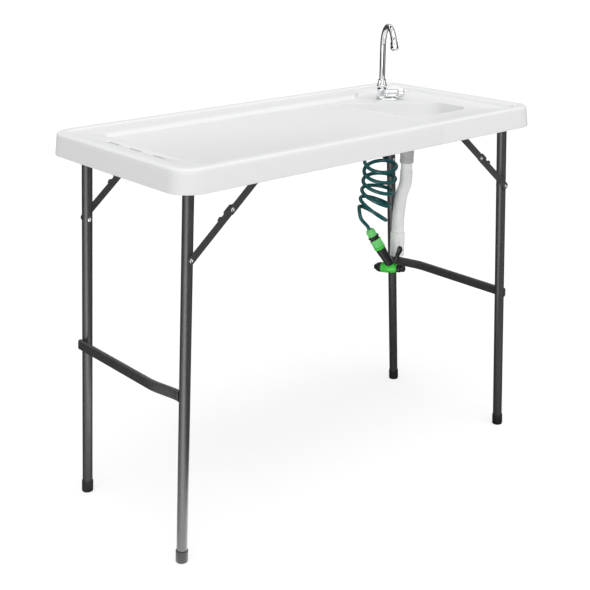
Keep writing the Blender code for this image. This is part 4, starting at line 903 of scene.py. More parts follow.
def addDrainHose():
    # the hose's radius is a cosine along its length below a plain neck; its outer wall and bore are one tube
    plan = drainPlan
    r = plan["nutRadius"]
    neck = plan["neckRadius"]
    tail = plan["tailRadius"] + gap
    base = (plan["x"], plan["y"], drainHead)
    nut = [(neck + 0.0004, 0.0), (r - 0.0008, 0.0, 0.0008), (r, 0.0022, 0.0008), (r, 0.0105, 0.0006),
           (r - 0.0012, 0.0118, 0.0005), (r - 0.0012, 0.0135, 0.0005), (r, 0.0148, 0.0006),
           (r, 0.0178, 0.0006), (r - 0.0010, 0.0190, 0.0005), (r - 0.0010, 0.0205, 0.0005),
           (r, 0.0218, 0.0006), (r, plan["nut"], 0.0015), (tail, plan["nut"], 0.0003), (tail, 0.005),
           (neck + 0.0004, 0.004)]
    piece("drainHoseNut", "drain_hose_nut", "grey",
          [turnedSkin(nut, base, up, True, 128, lobes=(30, 0.0007, 0.0222, plan["nut"] - 0.001))])
    line, length = evenly(drainLine(), 460)
    walked = np.linspace(0.0, length, len(line))
    ribs = 0.5 + 0.5 * np.cos(math.tau * (walked - plan["neck"]) / plan["ribPitch"])
    ribs = plan["hoseRadius"] - plan["ribDepth"] * ribs ** 1.5
    settle = eased((walked - plan["neck"]) / 0.0025)
    radius = neck * (1 - settle) + ribs * settle
    radius = np.where(walked > length - 0.012, plan["hoseRadius"] - 0.0002, radius)
    run = runOf(line)
    side = np.array((0.0, 1.0, 0.0))
    outer = carried(line, run, side, circle(1.0, 48) * radius[:, None, None])
    inner = carried(line, run, side, circle(plan["bore"], 48))[::-9]
    piece("drainHose", "drain_hose", "whiteHose", [ringSkin(np.concatenate([outer, inner]), True)])
    end = line[-1] - (0.0, 0.0, gap)
    r = plan["cuffRadius"]
    cuff = [(r - 0.002, 0.0, 0.0), (r, -0.003, 0.003), (r, -plan["cuff"], 0.001),
            (r - 0.0035, -plan["cuff"], 0.001), (r - 0.004, -0.003, 0.001), (plan["bore"], -0.003),
            (plan["bore"], 0.0)]
    piece("drainHoseCuff", "drain_hose_cuff", "whiteHose", [turnedSkin(cuff, end, up, True, 72)])


strainerPlan = {"dish": [(0.0, 0.0), (0.0205, 0.0, 0.0003), (0.0205, 0.0012, 0.0006), (0.0165, 0.0022, 0.002),
                         (0.0050, 0.0030, 0.001), (0.0040, 0.0045, 0.0006), (0.0048, 0.0056, 0.0008),
                         (0.0030, 0.0066, 0.001), (0.0, 0.0066)],
                "holes": ((0.0082, 8), (0.0125, 12), (0.0165, 16)), "holeRadius": 0.0013, "clear": 0.002}


def addStrainer():
    # a domed dish with a small knob, cut through by rings of holes
    plan = strainerPlan
    base = np.array((drainPlan["x"], drainPlan["y"], seatLevel + 2 * gap + 0.0005))
    body = piece("sinkStrainer", "sink_strainer", "chrome", [turnedSkin(plan["dish"], base, up, False, 60)])
    pins = []
    for ringRadius, count in plan["holes"]:
        for x, y in circle(ringRadius, count):
            place = base + (x, y, -plan["clear"])
            pins.append(rod(plan["holeRadius"], 0.0, 4 * plan["clear"], place, up, 12))
    cutAway(body, pins)


addDrain()
addDrainHose()
addStrainer()
print("drain made")

# Leg frames: the left one is reckoned and the right one is the same turned half round
legPlan = {"pivotX": 0.491, "pivotZ": 0.896, "radius": 0.0127, "wall": 0.0012, "nearY": 0.185, "farY": 0.221,
           "splayX": 0.063, "splayY": 0.008, "tubeRadius": 0.0110, "capRadius": 0.0145, "cap": 0.030,
           "sole": 0.004, "barDrop": 0.4882, "barHeight": 0.026, "barThickness": 0.012, "barBendY": -0.100,
           "saddleY": 0.155, "saddleWidth": 0.024, "strap": 0.0025, "saddleFoot": 0.013,
           "screw": [(0.0, 0.0), (0.0038, 0.0, 0.0002), (0.0038, 0.0008, 0.0008), (0.0016, 0.0020, 0.0008),
                     (0.0, 0.0020)]}
bracePlan = {"onTop": 0.193, "onLeg": 0.170, "step": 0.023, "width": 0.018, "thickness": 0.002, "tail": 0.012,
             "rivetRadius": 0.0050, "rivetHeight": 0.0018, "stopDepth": 0.0045, "earWidth": 0.022,
             "earFoot": 0.026, "stops": [(-0.043, -0.029), (-0.022, 0.006)]}
splayAngle = math.atan2(legPlan["splayX"], legPlan["pivotZ"])
legDown = np.array((-math.sin(splayAngle), 0.0, -math.cos(splayAngle)))
legOut = np.array((-math.cos(splayAngle), 0.0, math.sin(splayAngle)))
pivot = np.array((-legPlan["pivotX"], 0.0, legPlan["pivotZ"]))


def spun(skin, side):
    # the same skin, turned half round the vertical for the right frame
    points, faces = skin
    turn = (1.0, 1.0, 1.0) if side == "left" else (-1.0, -1.0, 1.0)
    return np.asarray(points) * turn, faces


def fitting(name, skins, body, finish="steel", slot="grey_coat"):
    # a small visible piece that stands for no node of its own
    piece(name, None, finish, skins, body=body, slot=slot)


def legName(side, y):
    # the half turn brings the left frame's front leg to the right frame's back
    return ("front" if y < 0 else "back") if side == "left" else ("back" if y < 0 else "front")


def addLeg(side, y):
    # a tube down the splayed line from its pivot, and a cap whose sole is flattened at the floor
    plan = legPlan
    name = side + legName(side, y).title()
    node = f"{side}_{legName(side, y)}"
    head = pivot + (0.0, y, 0.0)
    foot = np.array((-plan["pivotX"] - plan["splayX"], y + math.copysign(plan["splayY"], y), 0.0))
    along = unit(foot - head)
    start = head - along * plan["radius"] * 0.9
    length = np.linalg.norm(foot - start) - plan["sole"]
    r = plan["radius"]
    bore = r - plan["wall"]
    tube = [(0.0, 0.0), (r, 0.0, 0.0035), (r, length, 0.0003), (bore, length, 0.0003), (bore, 0.003, 0.001),
            (0.0, 0.003)]
    skin = turnedSkin(tube, start, along, False, 64)
    piece(name + "Leg", "leg_" + node, "coat", [spun(skin, side)])
    r = plan["capRadius"]
    total = length + plan["sole"]
    inner = plan["radius"] + gap
    cap = [(inner, total - plan["cap"]), (r, total - plan["cap"], 0.0012), (r, total - 0.004, 0.0),
           (r - 0.0004, total - 0.001, 0.0), (r - 0.002, total + 0.006, 0.0), (0.0, total + 0.006),
           (0.0, length + gap), (inner, length + gap)]
    points, faces = turnedSkin(cap, start, along, True, 64)
    below = np.minimum(points[:, 2], 0.0)
    points = points - along * (below / along[2])[:, None]
    piece(name + "FootCap", "foot_cap_" + node, "cap", [spun((points, faces), side)])
    inward = -math.copysign(1.0, y)
    share = 0.19  # of the leg's sideways splay, at the rivet's height
    splayed = y + math.copysign(plan["splayY"], y) * share + inward * (plan["radius"] - 0.0008)
    seat = pivot + legDown * bracePlan["onLeg"] + (0.0, splayed, 0.0)
    rivet = rivetSkin(seat, (0.0, inward, 0.0), 0.0005)
    fitting(name + "LegRivet", [spun(rivet, side)], "leg_frame_" + side)


def rivetSkin(base, along, lift=0.0):
    # a rolled tubular rivet head with a small hollow
    r = bracePlan["rivetRadius"]
    h = bracePlan["rivetHeight"] + lift
    return turnedSkin([(0.0, 0.0), (r, 0.0, 0.0002), (r, h * 0.45, 0.0012), (r * 0.62, h, 0.0008),
                       (r * 0.36, h, 0.0005), (r * 0.26, h * 0.35, 0.0004), (0.0, h * 0.35)], base, along,
                      False, 28)


def addPivotTube(side):
    # a plain tube between the two legs' heads
    plan = legPlan
    r = plan["tubeRadius"]
    seat = plan["radius"] + gap
    low = -plan["nearY"] + seat
    high = plan["farY"] - seat
    tube = [(r - plan["wall"], low), (r, low, 0.0003), (r, high, 0.0003), (r - plan["wall"], high)]
    piece(side + "PivotTube", "pivot_tube_" + side, "coat",
          [spun(turnedSkin(tube, pivot, (0.0, 1.0, 0.0), True, 48), side)])


def addCrossbar(side):
    # a flat oval section along a line that bends in to the near leg, and a lumpy bead of weld round its end
    plan = legPlan
    drop = pivot + legDown * plan["barDrop"]
    spread = plan["splayY"] * plan["barDrop"] / plan["pivotZ"]
    face = plan["radius"] + gap + plan["barThickness"] / 2
    endY = -plan["nearY"] - spread + plan["radius"] + 0.0012
    bend = plan["barBendY"]
    route = [(plan["farY"] + spread + 0.002, face), (0.1, face), (bend + 0.035, face),
             (bend + 0.014, face - 0.0003), (bend - 0.004, face - 0.0024), (bend - 0.020, face - 0.0056),
             (endY + 0.020, 0.0060), (endY, 0.0035)]
    line = throughPoints([drop + (0.0, y, 0.0) + legOut * reach for y, reach in route], 8)
    line[-1] = line[-1] * (1.0, 0.0, 1.0) + (0.0, endY, 0.0)
    halfT = plan["barThickness"] / 2
    halfH = plan["barHeight"] / 2
    section = roundedOutline(boxCorners(halfT, halfH), [halfT * 0.82] * 4, 0.0, 6)
    rings = carried(line, runOf(line), legOut, section)
    rings[-1, :, 1] = endY
    piece(side + "Crossbar", "crossbar_" + side, "coat", [spun(ringSkin(rings), side)])
    rim = rings[-1] + (0.0, 0.0006, 0.0)
    around = evenly(np.vstack([rim, rim[:1]]), 65)[0][:-1]
    outward = around - around.mean(0)
    outward /= np.linalg.norm(outward, axis=1)[:, None]
    lumps = 0.0012 + 0.00025 * np.sin(np.arange(len(around)) * 2.3)
    bead = circle(1.0, 10) * lumps[:, None, None]
    rings = (around[:, None, :] + outward[:, None, :] * bead[..., :1]
             + np.array((0.0, 1.0, 0.0)) * bead[..., 1:])
    fitting(side + "CrossbarWeld", [spun(ringSkin(rings, True), side)], "leg_frame_" + side, "coat")


def plateSkin(outline, near, far):
    # a flat plate from a 3-D outline function of the level
    return ringSkin(np.array([outline(near), outline(far)]))


def addSaddle(side, y):
    # a strap bent under the pivot tube, with two feet, and a screw through each foot
    plan = legPlan
    tall = ceiling - gap - plan["pivotZ"]
    low = tall - plan["strap"]
    inner = plan["tubeRadius"] + 0.0005
    outer = inner + plan["strap"]
    foot = outer + plan["saddleFoot"]
    angle = np.linspace(math.pi, math.tau, 25)
    bottom = np.stack([np.cos(angle), np.sin(angle)], axis=1)
    flat = np.vstack([[(-foot, tall), (-foot, low), (-outer - 0.001, low), (-outer, low - 0.001)],
                      outer * bottom,
                      [(outer, low - 0.001), (outer + 0.001, low), (foot, low), (foot, tall), (inner, tall)],
                      inner * bottom[::-1], [(-inner, tall)]])

    def level(v):
        x, z = flat.T
        return np.column_stack([x - plan["pivotX"], np.full(len(flat), v), z + plan["pivotZ"]])

    skin = plateSkin(level, y - plan["saddleWidth"] / 2, y + plan["saddleWidth"] / 2)
    end = legName(side, y)
    piece(f"{side}{end.title()}Saddle", f"saddle_{side}_{end}", "coat", [spun(skin, side)], bevel=0.0004)
    screws = []
    for x in (-outer - 0.0075, outer + 0.0075):
        screws.append(spun(turnedSkin(plan["screw"], pivot + (x, y, low), -up, False, 24), side))
    fitting(f"{side}{end.title()}SaddleScrews", screws, "table")


class Brace:
    # one side brace; the sign says which long side of the table it is on
    def __init__(self, side, y):
        self.side = side
        self.sign = math.copysign(1.0, y)
        self.end = legName(side, y)
        self.name = f"{side}_{self.end}"
        self.onTop = pivot + (bracePlan["onTop"], y, 0.0)
        self.onLeg = pivot + legDown * bracePlan["onLeg"] + (0.0, y, 0.0)
        span = (self.onTop - self.onLeg) * (1.0, 0.0, 1.0)
        self.long = (np.linalg.norm(span) + bracePlan["step"]) / 2
        self.run = unit(span)
        self.elbow = self.onLeg + self.run * self.long
        surface = abs(y) + legPlan["radius"] + gap
        folded = bracePlan["onLeg"] + self.long + bracePlan["tail"]
        self.seat = surface + legPlan["splayY"] * bracePlan["onLeg"] / legPlan["pivotZ"]
        self.layer = surface + legPlan["splayY"] * folded / legPlan["pivotZ"]

    def places(self, base, flat, level):
        # flat places along the brace's run and square to it, at one level out from the table's middle
        corner = np.array((-self.run[2], 0.0, self.run[0]))
        points = (base * (1.0, 0.0, 1.0) + flat[:, :1] * self.run[None] + flat[:, 1:] * corner[None])
        points[:, 1] = self.sign * level
        return points

    def plate(self, base, flat, near, far):
        # a flat outline carried from one level to another
        return spun(plateSkin(lambda v: self.places(base, flat, v), near, far), self.side)

    def rivet(self, base, level, back):
        # a head on the face, and its shank going back through the links
        start = np.array((base[0], self.sign * level, base[2]))
        out = (0.0, self.sign, 0.0)
        shank = turnedSkin([(0.0, -back), (0.0035, -back, 0.0003), (0.0035, 0.0), (0.0, 0.0)], start, out,
                           False, 20)
        return [spun(rivetSkin(start, out), self.side), spun(shank, self.side)]


def linkOutline(length, tail, stops):
    # a flat bar with round ends and stop bumps on its corner side
    half = bracePlan["width"] / 2
    first = math.pi / 2 + math.pi * np.linspace(0.0, 1.0, 17)
    last = -math.pi / 2 + math.pi * np.linspace(0.0, 1.0, 13)
    far = length + tail - half * 0.6
    outline = [np.column_stack([half * 0.9 * np.cos(first), half * np.sin(first)]),
               np.column_stack([far + half * 0.6 * np.cos(last), half * np.sin(last)])]
    for start, end in reversed(stops):
        bump = [(end, half, 0.0), (end - 0.003, half + bracePlan["stopDepth"], 0.002),
                (start + 0.003, half + bracePlan["stopDepth"], 0.002), (start, half, 0.0)]
        outline.append(softCorners(bump, False, 4))
    return np.vstack(outline)


def addBrace(side, y):
    # two flat links with their rivets, and the bent bracket that holds the upper one
    brace = Brace(side, y)
    t = bracePlan["thickness"]
    layer = brace.layer
    label = side + brace.end.title()
    stops = [(brace.long + start, brace.long + end) for start, end in bracePlan["stops"]]
    lower = linkOutline(brace.long, bracePlan["tail"], stops)
    piece(label + "LowerLink", "brace_lower_" + brace.name, "coat",
          [brace.plate(brace.onLeg, lower, layer, layer + t)], bevel=0.0005)
    fitting(label + "LowerLinkRivet", brace.rivet(brace.onLeg, layer + t, layer + t - brace.seat),
            "lower_link_" + brace.name)
    second = layer + t + gap
    upper = -linkOutline(brace.long - bracePlan["step"], bracePlan["tail"], [])
    piece(label + "UpperLink", "brace_upper_" + brace.name, "coat",
          [brace.plate(brace.onTop, upper, second, second + t)], bevel=0.0005)
    fitting(label + "ElbowRivet", [brace.rivet(brace.elbow, second + t, 0.001)[0]],
            "upper_link_" + brace.name)
    ear = second + t + gap
    tall = ceiling - gap
    half = bracePlan["earWidth"] / 2
    low = legPlan["pivotZ"] - 0.010
    foot = ear + t - bracePlan["earFoot"]
    section = softCorners([(ear + t, low), (ear + t, tall, 0.003), (foot, tall), (foot, tall - t),
                           (ear, tall - t, 0.0012), (ear, low)], True, 4)

    def level(x):
        return np.column_stack([np.full(len(section), x), brace.sign * section[:, 0], section[:, 1]])

    x = brace.onTop[0]
    piece(label + "BraceBracket", "brace_bracket_" + brace.name, "coat",
          [spun(plateSkin(level, x - half, x + half), side)], bevel=0.0004)
    fitting(label + "BracketRivet", [brace.rivet(brace.onTop, ear + t, 0.001)[0]], "table")


for side in ("left", "right"):
    addPivotTube(side)
    addCrossbar(side)
    for y in (-legPlan["nearY"], legPlan["farY"]):
        addLeg(side, y)
        addSaddle(side, math.copysign(legPlan["saddleY"], y))
        addBrace(side, y)
print("leg frames made")

# Tap with its swivel spout
spoutPlan = {"baseWidth": 0.0150, "baseReach": 0.034, "base": 0.0040, "bodyRadius": 0.0125, "body": 0.030,
             "collarRadius": 0.0140, "collar": 0.021, "radius": 0.0078, "wall": 0.0012, "straightTop": 1.0740,
             "archRadius": 0.0560, "archSweep": math.radians(155.0), "end": 0.0100, "aeratorRadius": 0.0105,
             "aerator": 0.0220, "valveRadius": 0.0095, "valveHeight": 0.0135, "valve": 0.031,
             "knobRadius": 0.0115, "knob": 0.0180, "spindleRadius": 0.0035, "shankRadius": 0.0100,
             "shankBore": 0.0060, "shank": 0.048, "nutRadius": 0.0190, "nutHeight": 0.0090,
             "teeRadius": 0.0150, "tee": 0.036, "teeArm": 0.030, "armRadius": 0.0115, "inletRadius": 0.0130,
             "inlet": 0.022, "inletBore": 0.0080, "couplingRadius": 0.0110, "coupling": 0.018,
             "screw": [(0.0, 0.0), (0.0030, 0.0), (0.0030, 0.0010, 0.0006), (0.0016, 0.0022, 0.0008),
                       (0.0, 0.0023)]}
tapFoot = np.array((tapPlan["x"], tapPlan["y"], workLevel + gap))
tapAlong = np.array((math.cos(tapPlan["turn"]), math.sin(tapPlan["turn"]), 0.0))
bodyFoot = tapFoot + up * (spoutPlan["base"] + gap)


def addTapBase():
    # a long plate with round ends, drawn in towards its top, with a hole for the shank and two screws
    plan = spoutPlan
    across = np.array((-tapAlong[1], tapAlong[0], 0.0))
    ends = []
    for turn, reach in ((math.pi / 2, 0.0), (-math.pi / 2, plan["baseReach"])):
        angle = turn + math.pi * np.linspace(0.0, 1.0, 25)
        ends.append(np.column_stack([np.cos(angle), np.sin(angle)]) * plan["baseWidth"] + (reach, 0.0))
    flat = np.vstack(ends)
    middle = np.array((plan["baseReach"] / 2, 0.0))
    high = plan["base"]
    rows = softCorners([(1.0, 0.0), (1.0, high * 0.55, 0.0008), (0.90, high * 0.62, 0.0008),
                        (0.86, high, 0.001), (0.60, high)], False, 4)
    rings = []
    for shrink, height in rows:
        ring = middle + (flat - middle) * shrink
        rings.append(tapFoot + ring[:, :1] * tapAlong + ring[:, 1:] * across + up * height)
    base = piece("tapBasePlate", "tap_base", "chrome", [ringSkin(rings)])
    cutAway(base, [rod(plan["shankRadius"] + gap, -0.002, 0.008, tapFoot, up, 48)])
    screws = []
    for reach in (plan["baseReach"] - 0.004, plan["baseReach"] + 0.0085):
        place = tapFoot + tapAlong * reach + up * (high - 0.0004)
        screws.append(turnedSkin(plan["screw"], place, up, False, 24))
    fitting("tapBaseScrews", screws, "table", "chrome", "chrome")


def addTapBody():
    # a turned body on its shank, joined to a turned barrel on its side, both bored; then spindle and knob
    plan = spoutPlan
    h = plan["body"]
    shank = -(plan["base"] + gap + plan["shank"])
    r = plan["bodyRadius"]
    s = plan["shankRadius"]
    centre = bodyFoot + up * plan["valveHeight"]
    reach = r + plan["valve"]
    body = [(0.0, shank), (s, shank, 0.0006), (s, 0.0), (r + 0.001, 0.0, 0.0005),
            (r + 0.001, 0.0030, 0.0010), (r - 0.0008, 0.0044, 0.0008), (r, 0.0062, 0.0010),
            (r, h - 0.0045, 0.002), (r - 0.0016, h, 0.0008), (0.0, h)]
    v = plan["valveRadius"]
    barrel = [(0.0, 0.0), (v - 0.0012, 0.0), (v - 0.0012, r + 0.0035, 0.0006),
              (v + 0.0008, r + 0.0042, 0.0006), (v + 0.0008, r + 0.0068, 0.0006), (v, r + 0.0075, 0.0006),
              (v, reach - 0.0045, 0.0005), (v - 0.0008, reach - 0.0038, 0.0004),
              (v - 0.0008, reach - 0.0030, 0.0004), (v, reach - 0.0022, 0.0006), (v - 0.001, reach, 0.0006),
              (0.0, reach)]
    made = piece("tapBody", "tap_body", "chrome", [turnedSkin(body, bodyFoot, up, False, 72)])
    cutAway(made, [turnedSkin(barrel, centre, tapAlong, False, 72, side=up)], "UNION")
    q = plan["spindleRadius"]
    cutAway(made, [rod(q + 0.0005, reach - 0.012, reach + 0.004, centre, tapAlong, 32),
                   rod(plan["shankBore"], shank - 0.004, h - 0.012, bodyFoot, up, 40)])
    piece("tapSpindle", "tap_spindle", "brass",
          [rod(q, reach - 0.011, reach + 0.010, centre, tapAlong, 32, 0.0004)])
    start = reach + 0.0005
    k = plan["knobRadius"]
    end = start + plan["knob"]
    inside = reach + 0.0104
    knob = [(q + gap, start), (k - 0.003, start, 0.0005), (k, start + 0.0025, 0.0012),
            (k, end - 0.0045, 0.001), (k - 0.0008, end - 0.0025, 0.0008), (k - 0.0030, end, 0.0015),
            (k - 0.0055, end - 0.0004, 0.0005), (k - 0.0062, end - 0.0012, 0.0005), (0.0, end - 0.0012),
            (0.0, inside), (q + gap, inside)]
    lobes = (8, 0.0022, start + 0.0008, end - 0.001)
    piece("tapKnob", "tap_knob", "chrome",
          [turnedSkin(knob, centre, tapAlong, True, 128, side=up, lobes=lobes)])


def addSpout():
    # a fluted collar, a tube up a straight line and round an arch, and an aerator at its end
    plan = spoutPlan
    foot = bodyFoot + up * plan["body"]
    s = plan["radius"]
    c = plan["collarRadius"]
    high = plan["collar"]
    collar = [(s + gap, gap), (c - 0.001, gap, 0.0005), (c, 0.0018, 0.0008), (c, high * 0.30, 0.0015),
              (c - 0.0012, high * 0.36, 0.001), (s + 0.0042, high * 0.55, 0.004),
              (s + 0.0030, high * 0.86, 0.002), (s + 0.0034, high * 0.90, 0.0006),
              (s + 0.0028, high, 0.0008), (s + gap, high)]
    piece("spoutCollar", "spout_collar", "chrome",
          [turnedSkin(collar, foot, up, True, 144, lobes=(12, 0.0014, 0.0070, high * 0.84), steps=6)])
    reach = np.array((math.cos(tapPlan["spoutTurn"]), math.sin(tapPlan["spoutTurn"]), 0.0))
    straight = np.array((foot[0], foot[1], plan["straightTop"]))
    rise = foot + up * (gap + 0.0002)
    angle = np.linspace(0.0, plan["archSweep"], 72)[:, None]
    arch = straight + plan["archRadius"] * (reach * (1 - np.cos(angle)) + up * np.sin(angle))
    endRun = reach * math.sin(plan["archSweep"]) + up * math.cos(plan["archSweep"])
    end = arch[-1] + endRun * plan["end"]
    line = np.vstack([rise + (straight - rise) * np.linspace(0.0, 1.0, 10)[:-1, None], arch, [end]])
    archRun = reach * np.sin(angle) + up * np.cos(angle)
    run = np.vstack([np.repeat(up[None], 10, axis=0), archRun[1:], [endRun]])
    side = np.cross(reach, up)
    outer = carried(line, run, side, circle(s, 40))
    inner = carried(line, run, side, circle(s - plan["wall"], 40))[::-1]
    piece("spoutTube", "spout_tube", "chrome", [ringSkin(np.concatenate([outer, inner]), True)])
    r = plan["aeratorRadius"]
    tall = plan["aerator"]
    aerator = [(s + gap, -0.009), (s + 0.0012, -0.009, 0.0004), (r - 0.0010, -0.0062, 0.001),
               (r - 0.0010, 0.0015, 0.0005), (r, 0.0028, 0.0008), (r, tall - 0.0118, 0.0006),
               (r - 0.0008, tall - 0.0112, 0.0004), (r - 0.0008, tall - 0.0106, 0.0004),
               (r - 0.0002, tall - 0.0100, 0.0006), (r - 0.0022, tall - 0.0090, 0.0008),
               (r - 0.0036, tall - 0.0096, 0.0004), (r - 0.0045, tall - 0.0115, 0.0004), (r - 0.0045, gap),
               (s + gap, gap)]
    lobes = (2, 0.0009, 0.0040, tall - 0.0125)
    piece("spoutAerator", "spout_aerator", "chrome",
          [turnedSkin(aerator, end, endRun, True, 96, side=side, lobes=lobes)])


def addSupply():
    # under the deck: shank nut, tee, garden hose inlet and hose coupling
    plan = spoutPlan
    under = np.array((tapPlan["x"], tapPlan["y"], ceiling - gap))
    s = plan["shankRadius"] + gap
    nut = piece("shankNut", "shank_nut", "brass",
                [rod(plan["nutRadius"], -plan["nutHeight"], 0.0, under, up, 6)])
    cutAway(nut, [rod(s, -0.012, 0.002, under, up, 48)])
    roundEdges(nut, 0.0005, 30.0)
    tall = plan["tee"]
    foot = np.array((tapPlan["x"], tapPlan["y"], tapFoot[2] - plan["shank"] + 0.016 - tall))
    r = plan["teeRadius"]
    tee = [(0.0, 0.0), (r, 0.0, 0.0025), (r, 0.0075, 0.0004), (r - 0.0010, 0.0082, 0.0004),
           (r - 0.0010, 0.0225, 0.0004), (r, 0.0232, 0.0004), (r, tall, 0.0025), (0.0, tall)]
    made = piece("supplyTee", "supply_tee", "black", [turnedSkin(tee, foot, up, False, 64)])
    arm = foot + up * tall * 0.42
    sideways = (1.0, 0.0, 0.0)
    armEnd = plan["teeArm"]
    armSkin = [(0.0, 0.0), (plan["armRadius"], 0.0), (plan["armRadius"], armEnd, 0.001), (0.0, armEnd)]
    cutAway(made, [turnedSkin(armSkin, arm, sideways, False, 48)], "UNION")
    socket = tapFoot[2] - plan["shank"] - gap - foot[2]
    bore = plan["shankBore"]
    throat = [(0.0, -0.002), (bore, -0.002), (bore, socket), (s, socket), (s, tall + 0.002),
              (0.0, tall + 0.002)]
    cutAway(made, [turnedSkin(throat, foot, up, False, 40)])
    cutAway(made, [rod(bore - 0.0004, 0.002, armEnd + 0.002, arm, sideways, 40)])
    r = plan["inletRadius"]
    q = plan["inletBore"]
    end = plan["inlet"]
    inlet = [(bore + 0.001, 0.0), (r + 0.0015, 0.0, 0.0004), (r + 0.0015, 0.003, 0.0005),
             (r - 0.0008, 0.0045, 0.0004)]
    for turn in range(5):
        h = 0.0075 + 0.0024 * turn
        inlet += [(r - 0.0008, h, 0.0003), (r, h + 0.0012, 0.0003)]
    inlet += [(r - 0.0012, end, 0.0006), (q, end, 0.0004), (q, 0.004), (bore + 0.001, 0.004)]
    piece("hoseInlet", "hose_inlet", "brass",
          [turnedSkin(inlet, arm + (armEnd + gap, 0.0, 0.0), sideways, True, 56)])
    r = plan["couplingRadius"]
    tall = plan["coupling"]
    coupling = [(0.0020, 0.0), (0.0072, 0.0, 0.0005), (r, 0.006, 0.001), (r, tall, 0.0006), (0.0020, tall)]
    lobes = (16, 0.0009, 0.0062, tall - 0.0005)
    piece("hoseCoupling", "hose_coupling", "lightGreen",
          [turnedSkin(coupling, foot - up * (gap + tall), up, True, 128, lobes=lobes)])


addTapBase()
addTapBody()
addSpout()
addSupply()
print("tap made")

# Spray gun
sprayPlan = {"headRadius": 0.0145, "rearRadius": 0.0120, "front": 0.029, "back": 0.016, "nozzle": 0.021,
             "tipRadius": 0.0065, "capRadius": 0.0110, "cap": 0.010, "knobRadius": 0.0090, "knob": 0.012,
             "handleTop": 0.065, "handleRadius": 0.0138, "handleLow": 0.0100, "leverWidth": 0.013,
             "leverThickness": 0.0042, "leverSquare": 0.55}


def headLine(grow):
    # the head's profile, or the hollow for it in the handle where it is grown
    plan = sprayPlan
    r = plan["headRadius"] + grow
    q = plan["rearRadius"] + grow
    front = -plan["front"]
    back = plan["back"] + grow
    return [(0.0, front - grow), (r - 0.001, front - grow, 0.0006), (r, front + 0.0012, 0.0008),
            (r, front + 0.0055, 0.0005), (r - 0.0008, front + 0.0062, 0.0005),
            (r - 0.0008, front + 0.0080, 0.0005), (r, front + 0.0088, 0.0006), (r, 0.002, 0.006),
            (q, plan["back"] - 0.004, 0.003), (q, back, 0.0012), (0.0, back)]


def addGun():
    # head, dial, rear cap and knob are turned round the head's axis, and the handle round its own
    plan = sprayPlan
    centre = gunPlan["origin"]
    piece("gunHead", "gun_head", "green", [turnedSkin(headLine(0.0), centre, gunHead, False, 80)])
    r = plan["headRadius"]
    front = plan["front"] + gap
    tip = front + plan["nozzle"]
    q = plan["tipRadius"]
    dial = [(0.0, -front), (r - 0.0006, -front, 0.0006), (r - 0.0006, -front - 0.0035, 0.001),
            (r - 0.0016, -front - plan["nozzle"] * 0.55, 0.004), (q + 0.0012, -tip + 0.0035, 0.003),
            (q, -tip, 0.0006), (q - 0.0022, -tip, 0.0006), (q - 0.0032, -tip + 0.0035, 0.0008),
            (0.0, -tip + 0.0035)]
    lobes = (12, 0.0010, -front - 0.0155, -front - 0.0018)
    piece("sprayDial", "spray_dial", "black", [turnedSkin(dial, centre, gunHead, False, 144, lobes=lobes)])
    r = plan["capRadius"]
    start = plan["back"] + gap
    cap = [(0.0, start), (r, start, 0.0006), (r, start + plan["cap"], 0.0015), (0.0, start + plan["cap"])]
    piece("gunRearCap", "gun_rear_cap", "black", [turnedSkin(cap, centre, gunHead, False, 64)])
    start += plan["cap"] + 0.0005
    r = plan["knobRadius"]
    end = start + plan["knob"]
    knob = [(0.0, start), (r - 0.001, start, 0.0006), (r, start + 0.001, 0.0006), (r, end - 0.003, 0.0025),
            (r - 0.003, end, 0.002), (0.0, end)]
    lobes = (10, 0.0010, start + 0.0006, end - 0.001)
    piece("flowKnob", "flow_knob", "black", [turnedSkin(knob, centre, gunHead, False, 120, lobes=lobes)])
    low = plan["handleLow"]
    r = plan["handleRadius"]
    high = plan["handleTop"]
    handle = [(0.0, 0.004), (low, 0.004), (low + 0.0008, 0.020, 0.006), (r - 0.0020, 0.034, 0.006),
              (r - 0.0012, 0.044, 0.006), (r, 0.056, 0.004), (r, high - 0.0012, 0.0008),
              (r - 0.0012, high, 0.0008), (0.0, high)]
    grip = piece("gunHandle", "gun_handle", "grip",
                 [turnedSkin(handle, centre, gunUp, False, 96, side=gunAcross, steps=6)])
    cutAway(grip, [turnedSkin(headLine(gap), centre, gunHead, False, 80)])


def leverFoot(height):
    # a place over the rear of the head, at a height above its axis, as rearward and upward reach
    along = sprayPlan["back"] - 0.0045
    level = math.cos(gunPlan["headTilt"])
    slant = math.sin(gunPlan["headTilt"])
    return along * level - height * slant, along * slant + height * level


